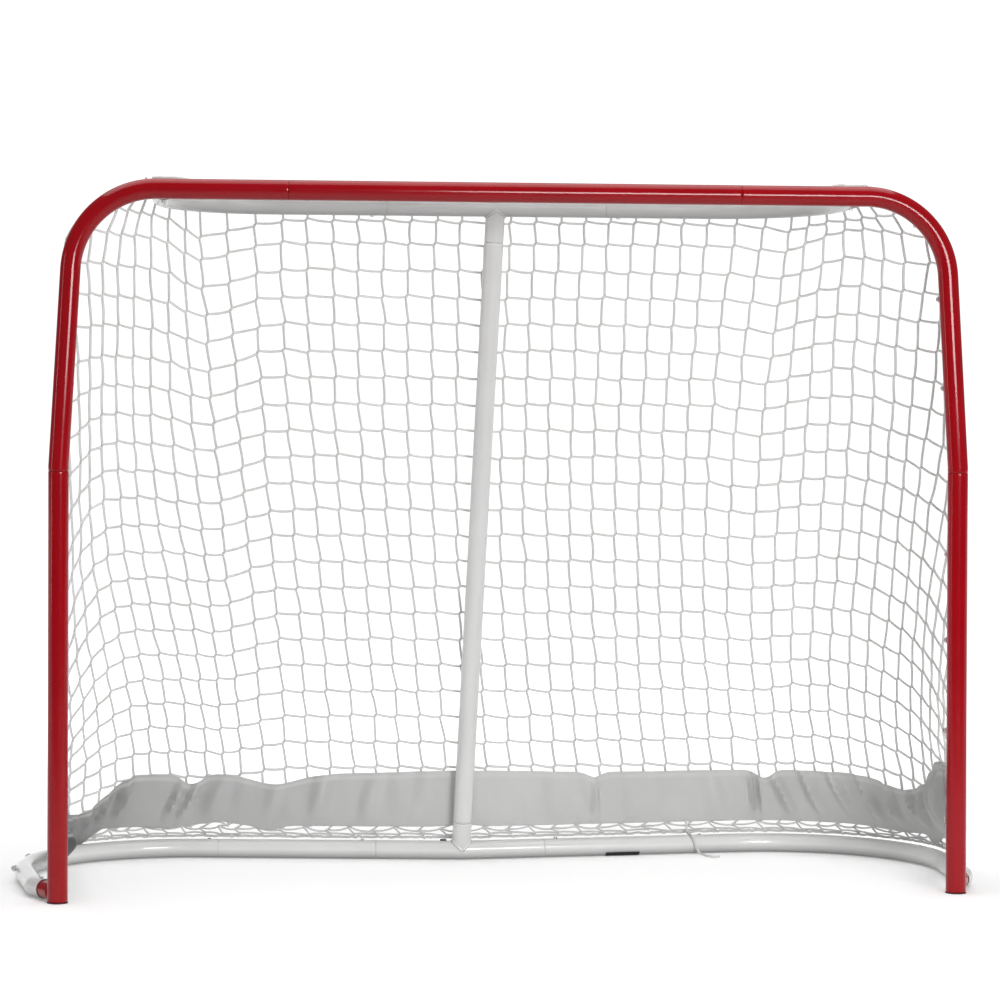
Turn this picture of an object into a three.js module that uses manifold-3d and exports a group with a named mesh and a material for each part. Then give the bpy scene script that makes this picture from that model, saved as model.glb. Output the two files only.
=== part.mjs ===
// Knock-down tubular steel hockey goal with a string net, a sheet skirt and spring snap buttons.
// Millimetres, +Z up. The mouth faces -Y, the base runs back along +Y, and the goal stands on Z = 0.
import * as THREE from 'three';
import { mergeVertices } from 'three/addons/utils/BufferGeometryUtils.js';
import Module from 'manifold-3d';

const wasm = await Module();
wasm.setup();

// Driving dimensions: the goal's opening and depth.
const TUBE_OD = 35;
const TUBE_WALL = 1.5;
const OPENING_WIDTH = 1524;
const BAR_HEIGHT = 1211;            // centreline of the crossbar
const POST_JOINT_HEIGHT = 732;      // where the lower post meets the corner tube
const CORNER_LEAN = THREE.MathUtils.degToRad(3.2);
const CORNER_RADIUS = 145;
const BAR_SEAM = 392;               // half the length of the middle of the crossbar
const SHELF_DEPTH = 333;
const SHELF_HALF_WIDTH = 602;
const SHELF_RADIUS = 200;
const SHELF_TEE_CENTRE = 14;        // the back leans a little in its loose joints
const SHELF_TEE_HALF = 201;
const BASE_DEPTH = 500;             // at the tee, the front point of the shallow V
const BASE_TEE_CENTRE = -23;
const BASE_TEE_HALF = 158;
const BASE_SEAM = 452;
const BASE_TEE_RADIUS = 90;
const FOOT_TOE_OUT = THREE.MathUtils.degToRad(25);
const FOOT_LEG = 90;
const FOOT_BEND_RADIUS = 60;
const FOOT_STUB_SHOW = 50;          // from the post's axis to the rim of the base tube
const SHELF_STUB_SHOW = 33;         // from the bar's axis to the rim of the shelf arm
const BASE_CORNER = new THREE.Vector3(873.2, 612.4, 0);
const BASE_RADIUS = 290;

// Joint fits.
const SIDES = 12;
const OUTER = TUBE_OD / 2;
const BORE = OUTER - TUBE_WALL;
const SPIGOT = BORE - 0.6;
const SPIGOT_BORE = SPIGOT - TUBE_WALL;
const SPIGOT_LENGTH = 44;
const SHORT_SPIGOT_LENGTH = 34;
const FOOT_SPIGOT_LENGTH = 28;
const SPIGOT_ROOT = 5;
const ROOT_RADIUS = OUTER - 0.3;
const SEAM_GAP = 0.3;
const TOP_STUB = 64;
const BOTTOM_STUB = 54;
const BEND_STEP = THREE.MathUtils.degToRad(15);

// Snap buttons.
const BUTTON_INSET = 25;            // from the seam to the button's axis
const SHORT_INSET = 18;
const FOOT_INSET = 15;
const BUTTON_RADIUS = 3.5;
const BUTTON_HOLE = 4.1;
const BUTTON_TOP = OUTER + 2.5;
const BUTTON_SIDES = 8;

// Net and skirt, measured outward from the centrelines of the base and shelf tubes.
const NET_OFFSET = 25;
const NET_THICKNESS = 2;
const NET_BOTTOM = 40;
const NET_TOP = BAR_HEIGHT + OUTER + 1.5;
const NET_FRONT = 34;
const SKIRT_OFFSET = 21.5;
const SKIRT_THICKNESS = 1.2;
const SKIRT_TOP = 165;

const POST_X = (OPENING_WIDTH + TUBE_OD) / 2;
const GROUND = OUTER;
const UP = new THREE.Vector3(0, 0, 1);
const BACK = new THREE.Vector3(0, 1, 0);
const v3 = (x, y, z) => new THREE.Vector3(x, y, z);

const RED = { color: 0xb3101f, roughness: 0.28, metalness: 0.1 };
const WHITE = { color: 0xe4e6e6, roughness: 0.35, metalness: 0.05 };
const STEEL = { color: 0xb8babd, roughness: 0.25, metalness: 1.0 };
const TWINE = { color: 0xf2f2f0, roughness: 0.8, metalness: 0.0 };
const VINYL = { color: 0xa8aaa8, roughness: 0.6, metalness: 0.0 };
const RUBBER = { color: 0x1c1c1d, roughness: 0.8, metalness: 0.0 };
const CAP = { color: 0x7d0d17, roughness: 0.5, metalness: 0.0 };

const goal = new THREE.Group();

function add(name, geometry, finish, parent = goal) {
  const mesh = new THREE.Mesh(geometry, new THREE.MeshStandardMaterial(finish));
  mesh.name = name;
  parent.add(mesh);
  return mesh;
}

// --- Solids ---------------------------------------------------------------------------------------

function toSolid(geometry) {
  const bare = geometry.clone();
  bare.deleteAttribute('normal');
  bare.deleteAttribute('uv');
  const merged = mergeVertices(bare, 1e-4);
  const vertProperties = new Float32Array(merged.attributes.position.array);
  const triVerts = new Uint32Array(merged.index.array);
  return new wasm.Manifold(new wasm.Mesh({ numProp: 3, vertProperties, triVerts }));
}

function toGeometry(solid) {
  const mesh = solid.getMesh();
  const geometry = new THREE.BufferGeometry();
  geometry.setAttribute('position', new THREE.BufferAttribute(mesh.vertProperties, 3));
  geometry.setIndex(new THREE.BufferAttribute(mesh.triVerts, 1));
  geometry.computeVertexNormals();
  return geometry;
}

const joinAll = (solids) => solids.reduce((whole, piece) => whole.add(piece));
const cutAll = (solid, cutters) => cutters.reduce((whole, piece) => whole.subtract(piece), solid);

// A regular polygon, given to its corners, whose flats face the section's own axes.
function polygonPoints(radius, sides) {
  const points = [];
  for (let k = 0; k < sides; k += 1) {
    const angle = (k + 0.5) * 2 * Math.PI / sides;
    points.push(new THREE.Vector2(radius * Math.cos(angle), radius * Math.sin(angle)));
  }
  return points;
}

const acrossFlats = (radius) => radius / Math.cos(Math.PI / SIDES);

// A centreline given as stations, each with its own direction, so that straight legs cost one step.
class StationCurve extends THREE.Curve {
  constructor(stations) {
    super();
    this.stations = stations;
  }

  getPoint(t, target = new THREE.Vector3()) {
    const place = t * (this.stations.length - 1);
    const i = Math.min(Math.floor(place), this.stations.length - 2);
    return target.lerpVectors(this.stations[i].point, this.stations[i + 1].point, place - i);
  }

  getPointAt(t, target) {
    return this.getPoint(t, target);
  }

  getTangentAt(t, target = new THREE.Vector3()) {
    return target.copy(this.stations[Math.round(t * (this.stations.length - 1))].tangent);
  }

  get start() {
    return this.stations[0];
  }

  get end() {
    return this.stations[this.stations.length - 1];
  }
}

// Straight legs between corner points, each corner rounded by its own bend radius.
function bentPath(corners, radii) {
  const heading = (i) => corners[i + 1].clone().sub(corners[i]).normalize();
  const stations = [{ point: corners[0].clone(), tangent: heading(0) }];
  for (let i = 1; i < corners.length - 1; i += 1) {
    const into = heading(i - 1);
    const turn = into.angleTo(heading(i));
    const radius = radii[i - 1];
    const axis = into.clone().cross(heading(i)).normalize();
    const start = corners[i].clone().addScaledVector(into, -radius * Math.tan(turn / 2));
    const centre = start.clone().addScaledVector(axis.clone().cross(into), radius);
    const steps = Math.max(2, Math.ceil(turn / BEND_STEP));
    for (let k = 0; k <= steps; k += 1) {
      const angle = turn * k / steps;
      const point = start.clone().sub(centre).applyAxisAngle(axis, angle).add(centre);
      stations.push({ point, tangent: into.clone().applyAxisAngle(axis, angle) });
    }
  }
  const last = corners.length - 1;
  stations.push({ point: corners[last].clone(), tangent: heading(last - 1) });
  return new StationCurve(stations);
}

const straightPath = (from, to) => bentPath([from, to], []);

function rod(path, radius, boreRadius = 0) {
  const section = new THREE.Shape(polygonPoints(radius, SIDES));
  if (boreRadius > 0) {
    section.holes.push(new THREE.Path(polygonPoints(boreRadius, SIDES)));
  }
  const steps = path.stations.length - 1;
  return toSolid(new THREE.ExtrudeGeometry(section, { steps, extrudePath: path, bevelEnabled: false }));
}

const pipe = (path) => rod(path, acrossFlats(OUTER), acrossFlats(BORE));

// Turns a shape made along +Y so that it starts at a point and runs along a direction.
function alongDirection(geometry, point, direction) {
  const turn = new THREE.Quaternion().setFromUnitVectors(BACK, direction);
  return geometry.applyQuaternion(turn).translate(point.x, point.y, point.z);
}

function lathe(profile, sides) {
  return new THREE.LatheGeometry(profile.map(([r, y]) => new THREE.Vector2(r, y)), sides);
}

// The reduced end of a tube, which plugs into the next one. Its root is inside the tube's own wall.
function spigot(point, direction, length = SPIGOT_LENGTH) {
  const profile = [
    [SPIGOT_BORE, -SPIGOT_ROOT],
    [ROOT_RADIUS, -SPIGOT_ROOT],
    [ROOT_RADIUS, -1],
    [SPIGOT, -1],
    [SPIGOT, length - 3],
    [SPIGOT - 0.8, length],
    [SPIGOT_BORE, length],
    [SPIGOT_BORE, -SPIGOT_ROOT],
  ];
  return toSolid(alongDirection(lathe(profile, SIDES), point, direction));
}

// --- Snap joints ------------------------------------------------------------------------------------

// Every slip joint: a point on the seam, the way its spigot points, and the way its button faces.
const snapJoints = [];

function snapJoint(name, seam, direction, facing, inset = BUTTON_INSET) {
  const along = direction.clone().normalize();
  const outward = facing.clone().addScaledVector(along, -facing.dot(along)).normalize();
  const joint = { name, seam: seam.clone(), along, outward, inset };
  snapJoints.push(joint);
  return joint;
}

const buttonPoint = (joint) => joint.seam.clone().addScaledVector(joint.along, joint.inset);

// The hole for the button, drilled through one side of the outer tube and of the spigot in it.
function buttonHole(joint) {
  const from = SPIGOT_BORE - 5;
  const length = OUTER + 5 - from;
  const drill = new THREE.CylinderGeometry(BUTTON_HOLE, BUTTON_HOLE, length, BUTTON_SIDES);
  drill.translate(0, from + length / 2, 0);
  return toSolid(alongDirection(drill, buttonPoint(joint), joint.outward));
}

function tubeWithHoles(solid, joints) {
  return toGeometry(cutAll(solid, joints.map(buttonHole)));
}

// The button's own frame: +Y out through the wall, +X back towards the spigot's own tube.
function placeInJoint(mesh, joint) {
  const x = joint.along.clone().negate();
  const basis = new THREE.Matrix4().makeBasis(x, joint.outward, x.clone().cross(joint.outward));
  mesh.quaternion.setFromRotationMatrix(basis);
  mesh.position.copy(buttonPoint(joint));
}

function buttonGeometry() {
  const flange = 5.2;
  const profile = [
    [0, 9],
    [flange, 9],
    [flange, 10.8],
    [BUTTON_RADIUS, 10.8],
    [BUTTON_RADIUS, BUTTON_TOP - 1.2],
    [0, BUTTON_TOP],
  ];
  const leaf = new THREE.BoxGeometry(30, 0.9, 8);
  leaf.translate(11, 9.2, 0);
  return toGeometry(toSolid(lathe(profile, BUTTON_SIDES)).add(toSolid(leaf)));
}

// The fixed half of the V spring: a leaf on the far wall and the bow that turns back at its end.
function springGeometry() {
  const thick = 0.8;
  const bowRadius = 6.4;
  const bowX = 29;
  const bowY = -3.6;
  const outline = new THREE.Shape();
  outline.moveTo(-6, bowY - bowRadius);
  outline.lineTo(-6, bowY - bowRadius - thick);
  outline.lineTo(bowX, bowY - bowRadius - thick);
  const steps = 4;
  const arcPoint = (radius, k) => {
    const angle = -Math.PI / 2 + Math.PI * k / steps;
    return [bowX + radius * Math.cos(angle), bowY + radius * Math.sin(angle)];
  };
  for (let k = 1; k <= steps; k += 1) {
    outline.lineTo(...arcPoint(bowRadius + thick, k));
  }
  for (let k = steps; k >= 0; k -= 1) {
    outline.lineTo(...arcPoint(bowRadius, k));
  }
  const strip = new THREE.ExtrudeGeometry(outline, { depth: 8, bevelEnabled: false });
  return strip.translate(0, 0, -4);
}

// --- Welded pegs that the net's edge hooks on -------------------------------------------------------

function peg(point, outward) {
  const profile = [
    [0, OUTER - 0.7],
    [2.4, OUTER - 0.7],
    [2.4, OUTER + 6.5],
    [4, OUTER + 8],
    [0, OUTER + 9.5],
  ];
  return toSolid(alongDirection(lathe(profile, 5), point, outward.clone().normalize()));
}

// --- Centrelines ------------------------------------------------------------------------------------

const sideName = (side) => (side < 0 ? 'left' : 'right');
const postJoint = (side) => v3(side * POST_X, 0, POST_JOINT_HEIGHT);

// The leaning upper post would meet the crossbar's line here if the corner were sharp.
function cornerPoint(side) {
  const rise = BAR_HEIGHT - POST_JOINT_HEIGHT;
  return v3(side * (POST_X - rise * Math.tan(CORNER_LEAN)), 0, BAR_HEIGHT);
}

const baseTee = v3(BASE_TEE_CENTRE, BASE_DEPTH, GROUND);
const shelfTee = v3(SHELF_TEE_CENTRE, SHELF_DEPTH, BAR_HEIGHT);
const toeOut = (side) => v3(side * Math.sin(FOOT_TOE_OUT), Math.cos(FOOT_TOE_OUT), 0);
const baseCorner = (side) => v3(side * BASE_CORNER.x, BASE_CORNER.y, GROUND);
const footPoint = (side) => v3(side * POST_X, 0, GROUND);
const footRim = (side) => footPoint(side).addScaledVector(toeOut(side), FOOT_STUB_SHOW);
const footBend = (side) => footPoint(side).addScaledVector(toeOut(side), FOOT_LEG);
const baseHeading = (side) => baseTee.clone().sub(baseCorner(side)).normalize();
const shelfFront = (side) => v3(side * SHELF_HALF_WIDTH, 0, BAR_HEIGHT);
const shelfCorner = (side) => v3(side * SHELF_HALF_WIDTH, SHELF_DEPTH, BAR_HEIGHT);

// A point on the straight back of the base at a distance across from the tee.
function baseBackPoint(side, across) {
  const heading = baseHeading(side);
  return baseTee.clone().addScaledVector(heading, -across / Math.abs(heading.x));
}

// --- Front frame ------------------------------------------------------------------------------------

const PEG_TURN = THREE.MathUtils.degToRad(35);
const CAP_FLANGE = 2;
const pegFacing = (side) => v3(-side * Math.sin(PEG_TURN), Math.cos(PEG_TURN), 0);

function lowerPost(side) {
  const name = sideName(side);
  const bottom = v3(side * POST_X, 0, CAP_FLANGE + SEAM_GAP);
  const top = postJoint(side);
  const postSnap = snapJoint(`post_${name}`, top, UP.clone().negate(), BACK);
  const footSnap = snapJoint(`foot_${name}`, footRim(side), toeOut(side), UP, FOOT_INSET);
  const axis = footPoint(side);
  const stubStart = axis.clone().addScaledVector(toeOut(side), OUTER);
  const stubEnd = footRim(side).addScaledVector(toeOut(side), FOOT_SPIGOT_LENGTH);
  const pegs = [126, 282, 440, 590].map((height) => peg(v3(side * POST_X, 0, height), pegFacing(side)));
  const body = joinAll([
    rod(straightPath(bottom, top), acrossFlats(OUTER)),
    rod(straightPath(axis, stubEnd), SPIGOT),
    ...pegs,
  ]);
  const bores = [
    rod(straightPath(v3(side * POST_X, 0, 0), v3(side * POST_X, 0, top.z + 1)), acrossFlats(BORE)),
    rod(straightPath(stubStart, stubEnd.clone().add(toeOut(side))), SPIGOT_BORE),
  ];
  add(`${name}_post_lower`, tubeWithHoles(cutAll(body, bores), [postSnap, footSnap]), RED);
  return { postSnap, footSnap };
}

// A plastic plug with a flange that the post stands on.
function footCap(side) {
  const profile = [
    [0, 0],
    [17, 0],
    [18.4, 0.8],
    [18.4, CAP_FLANGE],
    [14.9, CAP_FLANGE],
    [14.3, 12],
    [0, 12],
  ];
  const cap = lathe(profile, 16).rotateX(Math.PI / 2);
  add(`${sideName(side)}_foot_cap`, cap.translate(side * POST_X, 0, 0), CAP);
}

function cornerTube(side, postSnap) {
  const name = sideName(side);
  const seam = v3(side * BAR_SEAM, 0, BAR_HEIGHT);
  const path = bentPath([postJoint(side), cornerPoint(side), seam], [CORNER_RADIUS]);
  path.start.tangent.copy(UP);
  path.start.point.z += SEAM_GAP;
  const barSnap = snapJoint(`bar_${name}`, seam, path.end.tangent, BACK);
  const front = shelfFront(side);
  const armSeam = front.clone().addScaledVector(BACK, SHELF_STUB_SHOW);
  const armSnap = snapJoint(`shelf_arm_${name}`, armSeam, BACK, UP.clone().negate());
  const stubStart = front.clone().addScaledVector(BACK, OUTER);
  const stubEnd = armSeam.clone().addScaledVector(BACK, SPIGOT_LENGTH);
  const inBar = straightPath(front.clone().setX(side * 640), front.clone().setX(side * 560));
  const stub = rod(straightPath(front, stubEnd), SPIGOT).subtract(rod(inBar, acrossFlats(BORE)));
  const pegs = [880, 1035].map((height) => {
    const x = POST_X - (height - POST_JOINT_HEIGHT) * Math.tan(CORNER_LEAN);
    return peg(v3(side * x, 0, height), pegFacing(side));
  });
  pegs.push(peg(path.stations[4].point, v3(-side * 0.35, 1, -0.35)));
  const body = joinAll([
    pipe(path),
    stub,
    spigot(path.start.point, UP.clone().negate()),
    spigot(path.end.point, path.end.tangent),
    ...pegs,
  ]);
  const solid = body.subtract(rod(straightPath(stubStart, stubEnd.clone().add(BACK)), SPIGOT_BORE));
  add(`${name}_corner_tube`, tubeWithHoles(solid, [postSnap, barSnap, armSnap]), RED);
  return { barSnap, armSnap };
}

function crossbarMiddle(snaps) {
  const half = BAR_SEAM - SEAM_GAP;
  const path = straightPath(v3(-half, 0, BAR_HEIGHT), v3(half, 0, BAR_HEIGHT));
  const pegs = [-280, 0, 280].map((x) => peg(v3(x, 0, BAR_HEIGHT), v3(0, 1, -0.3)));
  add('crossbar_middle', tubeWithHoles(joinAll([pipe(path), ...pegs]), snaps), RED);
}

// --- Base and shelf ---------------------------------------------------------------------------------

const BASE_PEG_LIFT = 0.45;

function baseArc(side, footSnap) {
  const name = sideName(side);
  const seam = baseBackPoint(side, BASE_SEAM);
  const rim = footRim(side).addScaledVector(toeOut(side), SEAM_GAP);
  const route = [rim, footBend(side), baseCorner(side), seam];
  const path = bentPath(route, [FOOT_BEND_RADIUS, BASE_RADIUS]);
  const seamSnap = snapJoint(`base_${name}`, seam, baseHeading(side).negate(), v3(0, 0.5, 1), SHORT_INSET);
  const pegs = [4, 6, 8, 10].map((i) => {
    const { point, tangent } = path.stations[i];
    const outward = tangent.clone().cross(UP).multiplyScalar(side);
    return peg(point, outward.setZ(BASE_PEG_LIFT));
  });
  add(`${name}_base_arc`, tubeWithHoles(joinAll([pipe(path), ...pegs]), [footSnap, seamSnap]), WHITE);
  return seamSnap;
}

function baseStraight(side, seamSnap) {
  const heading = baseHeading(side);
  const outerEnd = baseBackPoint(side, BASE_SEAM).addScaledVector(heading, SEAM_GAP);
  const innerEnd = baseBackPoint(side, BASE_TEE_HALF).addScaledVector(heading, -SEAM_GAP);
  const teeSnap = snapJoint(`base_tee_${sideName(side)}`, innerEnd, heading.clone().negate(), UP);
  const body = joinAll([
    pipe(straightPath(outerEnd, innerEnd)),
    spigot(outerEnd, heading.clone().negate(), SHORT_SPIGOT_LENGTH),
    peg(outerEnd.clone().lerp(innerEnd, 0.5), v3(0, 1, BASE_PEG_LIFT)),
  ]);
  add(`${sideName(side)}_base_straight`, tubeWithHoles(body, [seamSnap, teeSnap]), WHITE);
  return teeSnap;
}

// A tube with spigots at both ends and a short stub, saddle-welded at its middle, for the centre post.
function tee(name, path, boredPath, stubPath, snaps) {
  const body = rod(path, acrossFlats(OUTER)).add(rod(stubPath, acrossFlats(OUTER)));
  const down = stubPath.start.tangent;
  const stubStart = stubPath.start.point.clone().addScaledVector(down, OUTER + 1);
  const stubBore = straightPath(stubStart, stubPath.end.point.clone().add(down));
  const solid = joinAll([
    cutAll(body, [rod(boredPath, acrossFlats(BORE)), rod(stubBore, acrossFlats(BORE))]),
    spigot(path.start.point, path.start.tangent.clone().negate()),
    spigot(path.end.point, path.end.tangent),
  ]);
  add(name, tubeWithHoles(solid, snaps), WHITE);
}

const postAxis = baseTee.clone().sub(shelfTee).normalize();

function shelfTeePiece(armSnaps) {
  const start = shelfTee.clone().setX(SHELF_TEE_CENTRE - SHELF_TEE_HALF);
  const end = shelfTee.clone().setX(SHELF_TEE_CENTRE + SHELF_TEE_HALF);
  const stub = straightPath(shelfTee, shelfTee.clone().addScaledVector(postAxis, TOP_STUB));
  const beyond = straightPath(start.clone().setX(start.x - 1), end.clone().setX(end.x + 1));
  const snap = snapJoint('post_top', stub.end.point, postAxis.clone().negate(), BACK);
  tee('shelf_tee', straightPath(start, end), beyond, stub, [snap, ...armSnaps]);
  return snap;
}

function baseTeePiece(straightSnaps) {
  const start = baseBackPoint(-1, BASE_TEE_HALF);
  const end = baseBackPoint(1, BASE_TEE_HALF);
  const path = bentPath([start, baseTee, end], [BASE_TEE_RADIUS]);
  const beyond = [-1, 1].map((side) => baseBackPoint(side, BASE_TEE_HALF + 1));
  const bored = bentPath([beyond[0], baseTee, beyond[1]], [BASE_TEE_RADIUS]);
  const up = postAxis.clone().negate();
  const stub = straightPath(baseTee, baseTee.clone().addScaledVector(up, BOTTOM_STUB));
  const snap = snapJoint('post_bottom', stub.end.point, postAxis, BACK, SHORT_INSET);
  tee('base_tee', path, bored, stub, [snap, ...straightSnaps]);
  return snap;
}

function shelfArm(side, armSnap) {
  const seam = v3(SHELF_TEE_CENTRE + side * (SHELF_TEE_HALF + SEAM_GAP), SHELF_DEPTH, BAR_HEIGHT);
  const front = shelfFront(side).setY(SHELF_STUB_SHOW + SEAM_GAP);
  const path = bentPath([front, shelfCorner(side), seam], [SHELF_RADIUS]);
  const teeSnap = snapJoint(`shelf_tee_${sideName(side)}`, seam, v3(side, 0, 0), UP.clone().negate());
  add(`${sideName(side)}_shelf_arm`, tubeWithHoles(pipe(path), [armSnap, teeSnap]), WHITE);
  return teeSnap;
}

function centrePost(topSnap, bottomSnap) {
  const top = topSnap.seam.clone().addScaledVector(postAxis, SEAM_GAP);
  const bottom = bottomSnap.seam.clone().addScaledVector(postAxis, -SEAM_GAP);
  const body = joinAll([
    pipe(straightPath(top, bottom)),
    spigot(top, postAxis.clone().negate()),
    spigot(bottom, postAxis, SHORT_SPIGOT_LENGTH),
  ]);
  add('centre_post', tubeWithHoles(body, [topSnap, bottomSnap]), WHITE);
}

// --- Net and skirt ----------------------------------------------------------------------------------

// A centreline as a function of the share of its length, giving a point and the outward direction.
function outlineOf(path, side) {
  const reach = [0];
  for (let i = 1; i < path.stations.length; i += 1) {
    reach.push(reach[i - 1] + path.stations[i].point.distanceTo(path.stations[i - 1].point));
  }
  return (share) => {
    const want = share * reach[reach.length - 1];
    let i = 1;
    while (i < reach.length - 1 && reach[i] < want) {
      i += 1;
    }
    const within = (want - reach[i - 1]) / (reach[i] - reach[i - 1]);
    const [from, to] = [path.stations[i - 1], path.stations[i]];
    const tangent = from.tangent.clone().lerp(to.tangent, within).normalize();
    return {
      point: from.point.clone().lerp(to.point, within),
      outward: tangent.cross(UP).multiplyScalar(side),
    };
  };
}

function halfOutlines(side) {
  const front = v3(side * POST_X, NET_FRONT, GROUND);
  const baseRoute = [front, v3(side * 819, 96, GROUND), baseCorner(side), baseTee];
  const shelfRoute = [shelfFront(side).setY(NET_FRONT), shelfCorner(side), shelfTee];
  return {
    base: outlineOf(bentPath(baseRoute, [FOOT_BEND_RADIUS, BASE_RADIUS]), side),
    shelf: outlineOf(bentPath(shelfRoute, [SHELF_RADIUS]), side),
  };
}

const outlines = { left: halfOutlines(-1), right: halfOutlines(1) };
const FRONT_PULL = 0.35;
const TUCK_LOOSE = 130;
const TUCK_MIDDLE = 62;
const TUCK_TOP = 85;
const TUCK_SLOPE = 400;
const TUCK_SOFT = 16;

// Half the width of the front frame at a height.
function frameHalfWidth(height) {
  const lean = Math.max(0, height - POST_JOINT_HEIGHT) * Math.tan(CORNER_LEAN);
  const intoBend = Math.min(1, Math.max(0, height - BAR_HEIGHT + CORNER_RADIUS) / CORNER_RADIUS);
  return POST_X - lean - CORNER_RADIUS * (1 - Math.sqrt(1 - intoBend ** 2));
}

// How far a panel is drawn in: the left one hangs inside the line of its post, and the right
// one does so only at its front edge.
function drawnIn(place, side, share, offset) {
  const { smoothstep } = THREE.MathUtils;
  const low = 1 - smoothstep(place.z, NET_BOTTOM, TUCK_TOP);
  const high = smoothstep(place.z, 900, 1100);
  const reach = side > 0 ? TUCK_SLOPE * share : 0;
  const most = frameHalfWidth(place.z) - 3 + TUCK_LOOSE * (low + high) + reach;
  const over = Math.abs(place.x) + NET_OFFSET - offset - most;
  return (over + Math.hypot(over, TUCK_SOFT)) / 2;
}

// A point of the net's surface: how far round from the front, at a height, a distance outside the tubes.
function netPoint({ side, share }, height, offset) {
  const { base, shelf } = outlines[sideName(side)];
  const [low, high] = [base(share), shelf(share)].map(({ point, outward }) => {
    return point.addScaledVector(outward, offset);
  });
  const rise = height / BAR_HEIGHT;
  const place = low.lerp(high, rise).setZ(height);
  const straightEdge = POST_X + (SHELF_HALF_WIDTH - POST_X) * rise;
  const pull = Math.max(0, 1 - share / FRONT_PULL) ** 2;
  const tuck = NET_OFFSET * Math.max(0, 1 - rise);
  place.x += side * pull * (frameHalfWidth(height) - straightEdge - tuck);
  place.x -= side * drawnIn(place, side, share, offset);
  return place;
}

// A closed thin sheet between two matching grids of points.
function sheet(outer, inner) {
  const rows = outer.length;
  const columns = outer[0].length;
  const positions = [...outer.flat(), ...inner.flat()].flatMap((p) => [p.x, p.y, p.z]);
  const at = (layer, i, j) => (layer * rows + i) * columns + j;
  const faces = [];
  const quad = (a, b, c, d) => faces.push(a, b, c, a, c, d);
  for (let i = 0; i < rows - 1; i += 1) {
    for (let j = 0; j < columns - 1; j += 1) {
      quad(at(0, i, j), at(0, i + 1, j), at(0, i + 1, j + 1), at(0, i, j + 1));
      quad(at(1, i, j), at(1, i, j + 1), at(1, i + 1, j + 1), at(1, i + 1, j));
    }
    const end = columns - 1;
    quad(at(0, i, 0), at(1, i, 0), at(1, i + 1, 0), at(0, i + 1, 0));
    quad(at(0, i + 1, end), at(1, i + 1, end), at(1, i, end), at(0, i, end));
  }
  for (let j = 0; j < columns - 1; j += 1) {
    const end = rows - 1;
    quad(at(0, 0, j), at(0, 0, j + 1), at(1, 0, j + 1), at(1, 0, j));
    quad(at(0, end, j + 1), at(0, end, j), at(1, end, j), at(1, end, j + 1));
  }
  const geometry = new THREE.BufferGeometry();
  geometry.setAttribute('position', new THREE.Float32BufferAttribute(positions, 3));
  geometry.setIndex(faces);
  geometry.computeVertexNormals();
  return geometry;
}

const spread = (from, to, steps) => Array.from({ length: steps + 1 }, (_, i) => from + (to - from) * i / steps);
const leftStations = (from, to, steps) => spread(from, to, steps).map((share) => ({ side: -1, share }));
const rightStations = (from, to, steps) => spread(from, to, steps).map((share) => ({ side: 1, share }));

function curtain(name, stations, heights, offset, thickness, finish) {
  const grid = (distance) => heights.map((height) => stations.map((place) => netPoint(place, height, distance)));
  add(name, sheet(grid(offset + thickness), grid(offset)), finish);
}

const NET_SEAM = 0.6;
const sideStations = (side) => [0, 0.005, ...spread(0, NET_SEAM, 10).slice(1)].map((share) => ({ side, share }));
const backStations = () => [
  ...leftStations(NET_SEAM + 0.003, 1, 6),
  ...rightStations(NET_SEAM + 0.003, 0.985, 5).reverse(),
];

function nets() {
  const bendStart = BAR_HEIGHT - CORNER_RADIUS;
  const heights = [
    NET_BOTTOM,
    TUCK_MIDDLE,
    TUCK_TOP,
    SKIRT_TOP,
    400,
    POST_JOINT_HEIGHT,
    ...[0, 0.45, 0.8].map((share) => bendStart + share * CORNER_RADIUS),
    NET_TOP - 4,
  ];
  curtain('net_side_left', sideStations(-1), heights, NET_OFFSET, NET_THICKNESS, TWINE);
  curtain('net_side_right', sideStations(1).reverse(), heights, NET_OFFSET, NET_THICKNESS, TWINE);
  curtain('net_back', backStations(), heights, NET_OFFSET, NET_THICKNESS, TWINE);
}

// The roof of the net lies on top of the shelf tubes, from the crossbar to the shelf's back.
function netRoof() {
  const outline = [
    ...leftStations(0, 1, 10),
    ...rightStations(0, 0.98, 10).reverse(),
  ].map((place) => netPoint(place, BAR_HEIGHT, NET_OFFSET));
  const corners = [v3(-SHELF_HALF_WIDTH, 22, 0), ...outline, v3(SHELF_HALF_WIDTH, 22, 0)];
  const shape = new THREE.Shape(corners.map((p) => new THREE.Vector2(p.x, p.y)));
  const roof = new THREE.ExtrudeGeometry(shape, { depth: NET_THICKNESS, bevelEnabled: false });
  add('net_top', roof.translate(0, 0, NET_TOP), TWINE);
}

function skirt() {
  const stations = [
    ...sideStations(-1).slice(1),
    ...backStations(),
    ...sideStations(1).slice(1).reverse(),
  ];
  curtain('skirt', stations, [TUCK_MIDDLE, TUCK_TOP, SKIRT_TOP], SKIRT_OFFSET, SKIRT_THICKNESS, VINYL);
}

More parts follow.
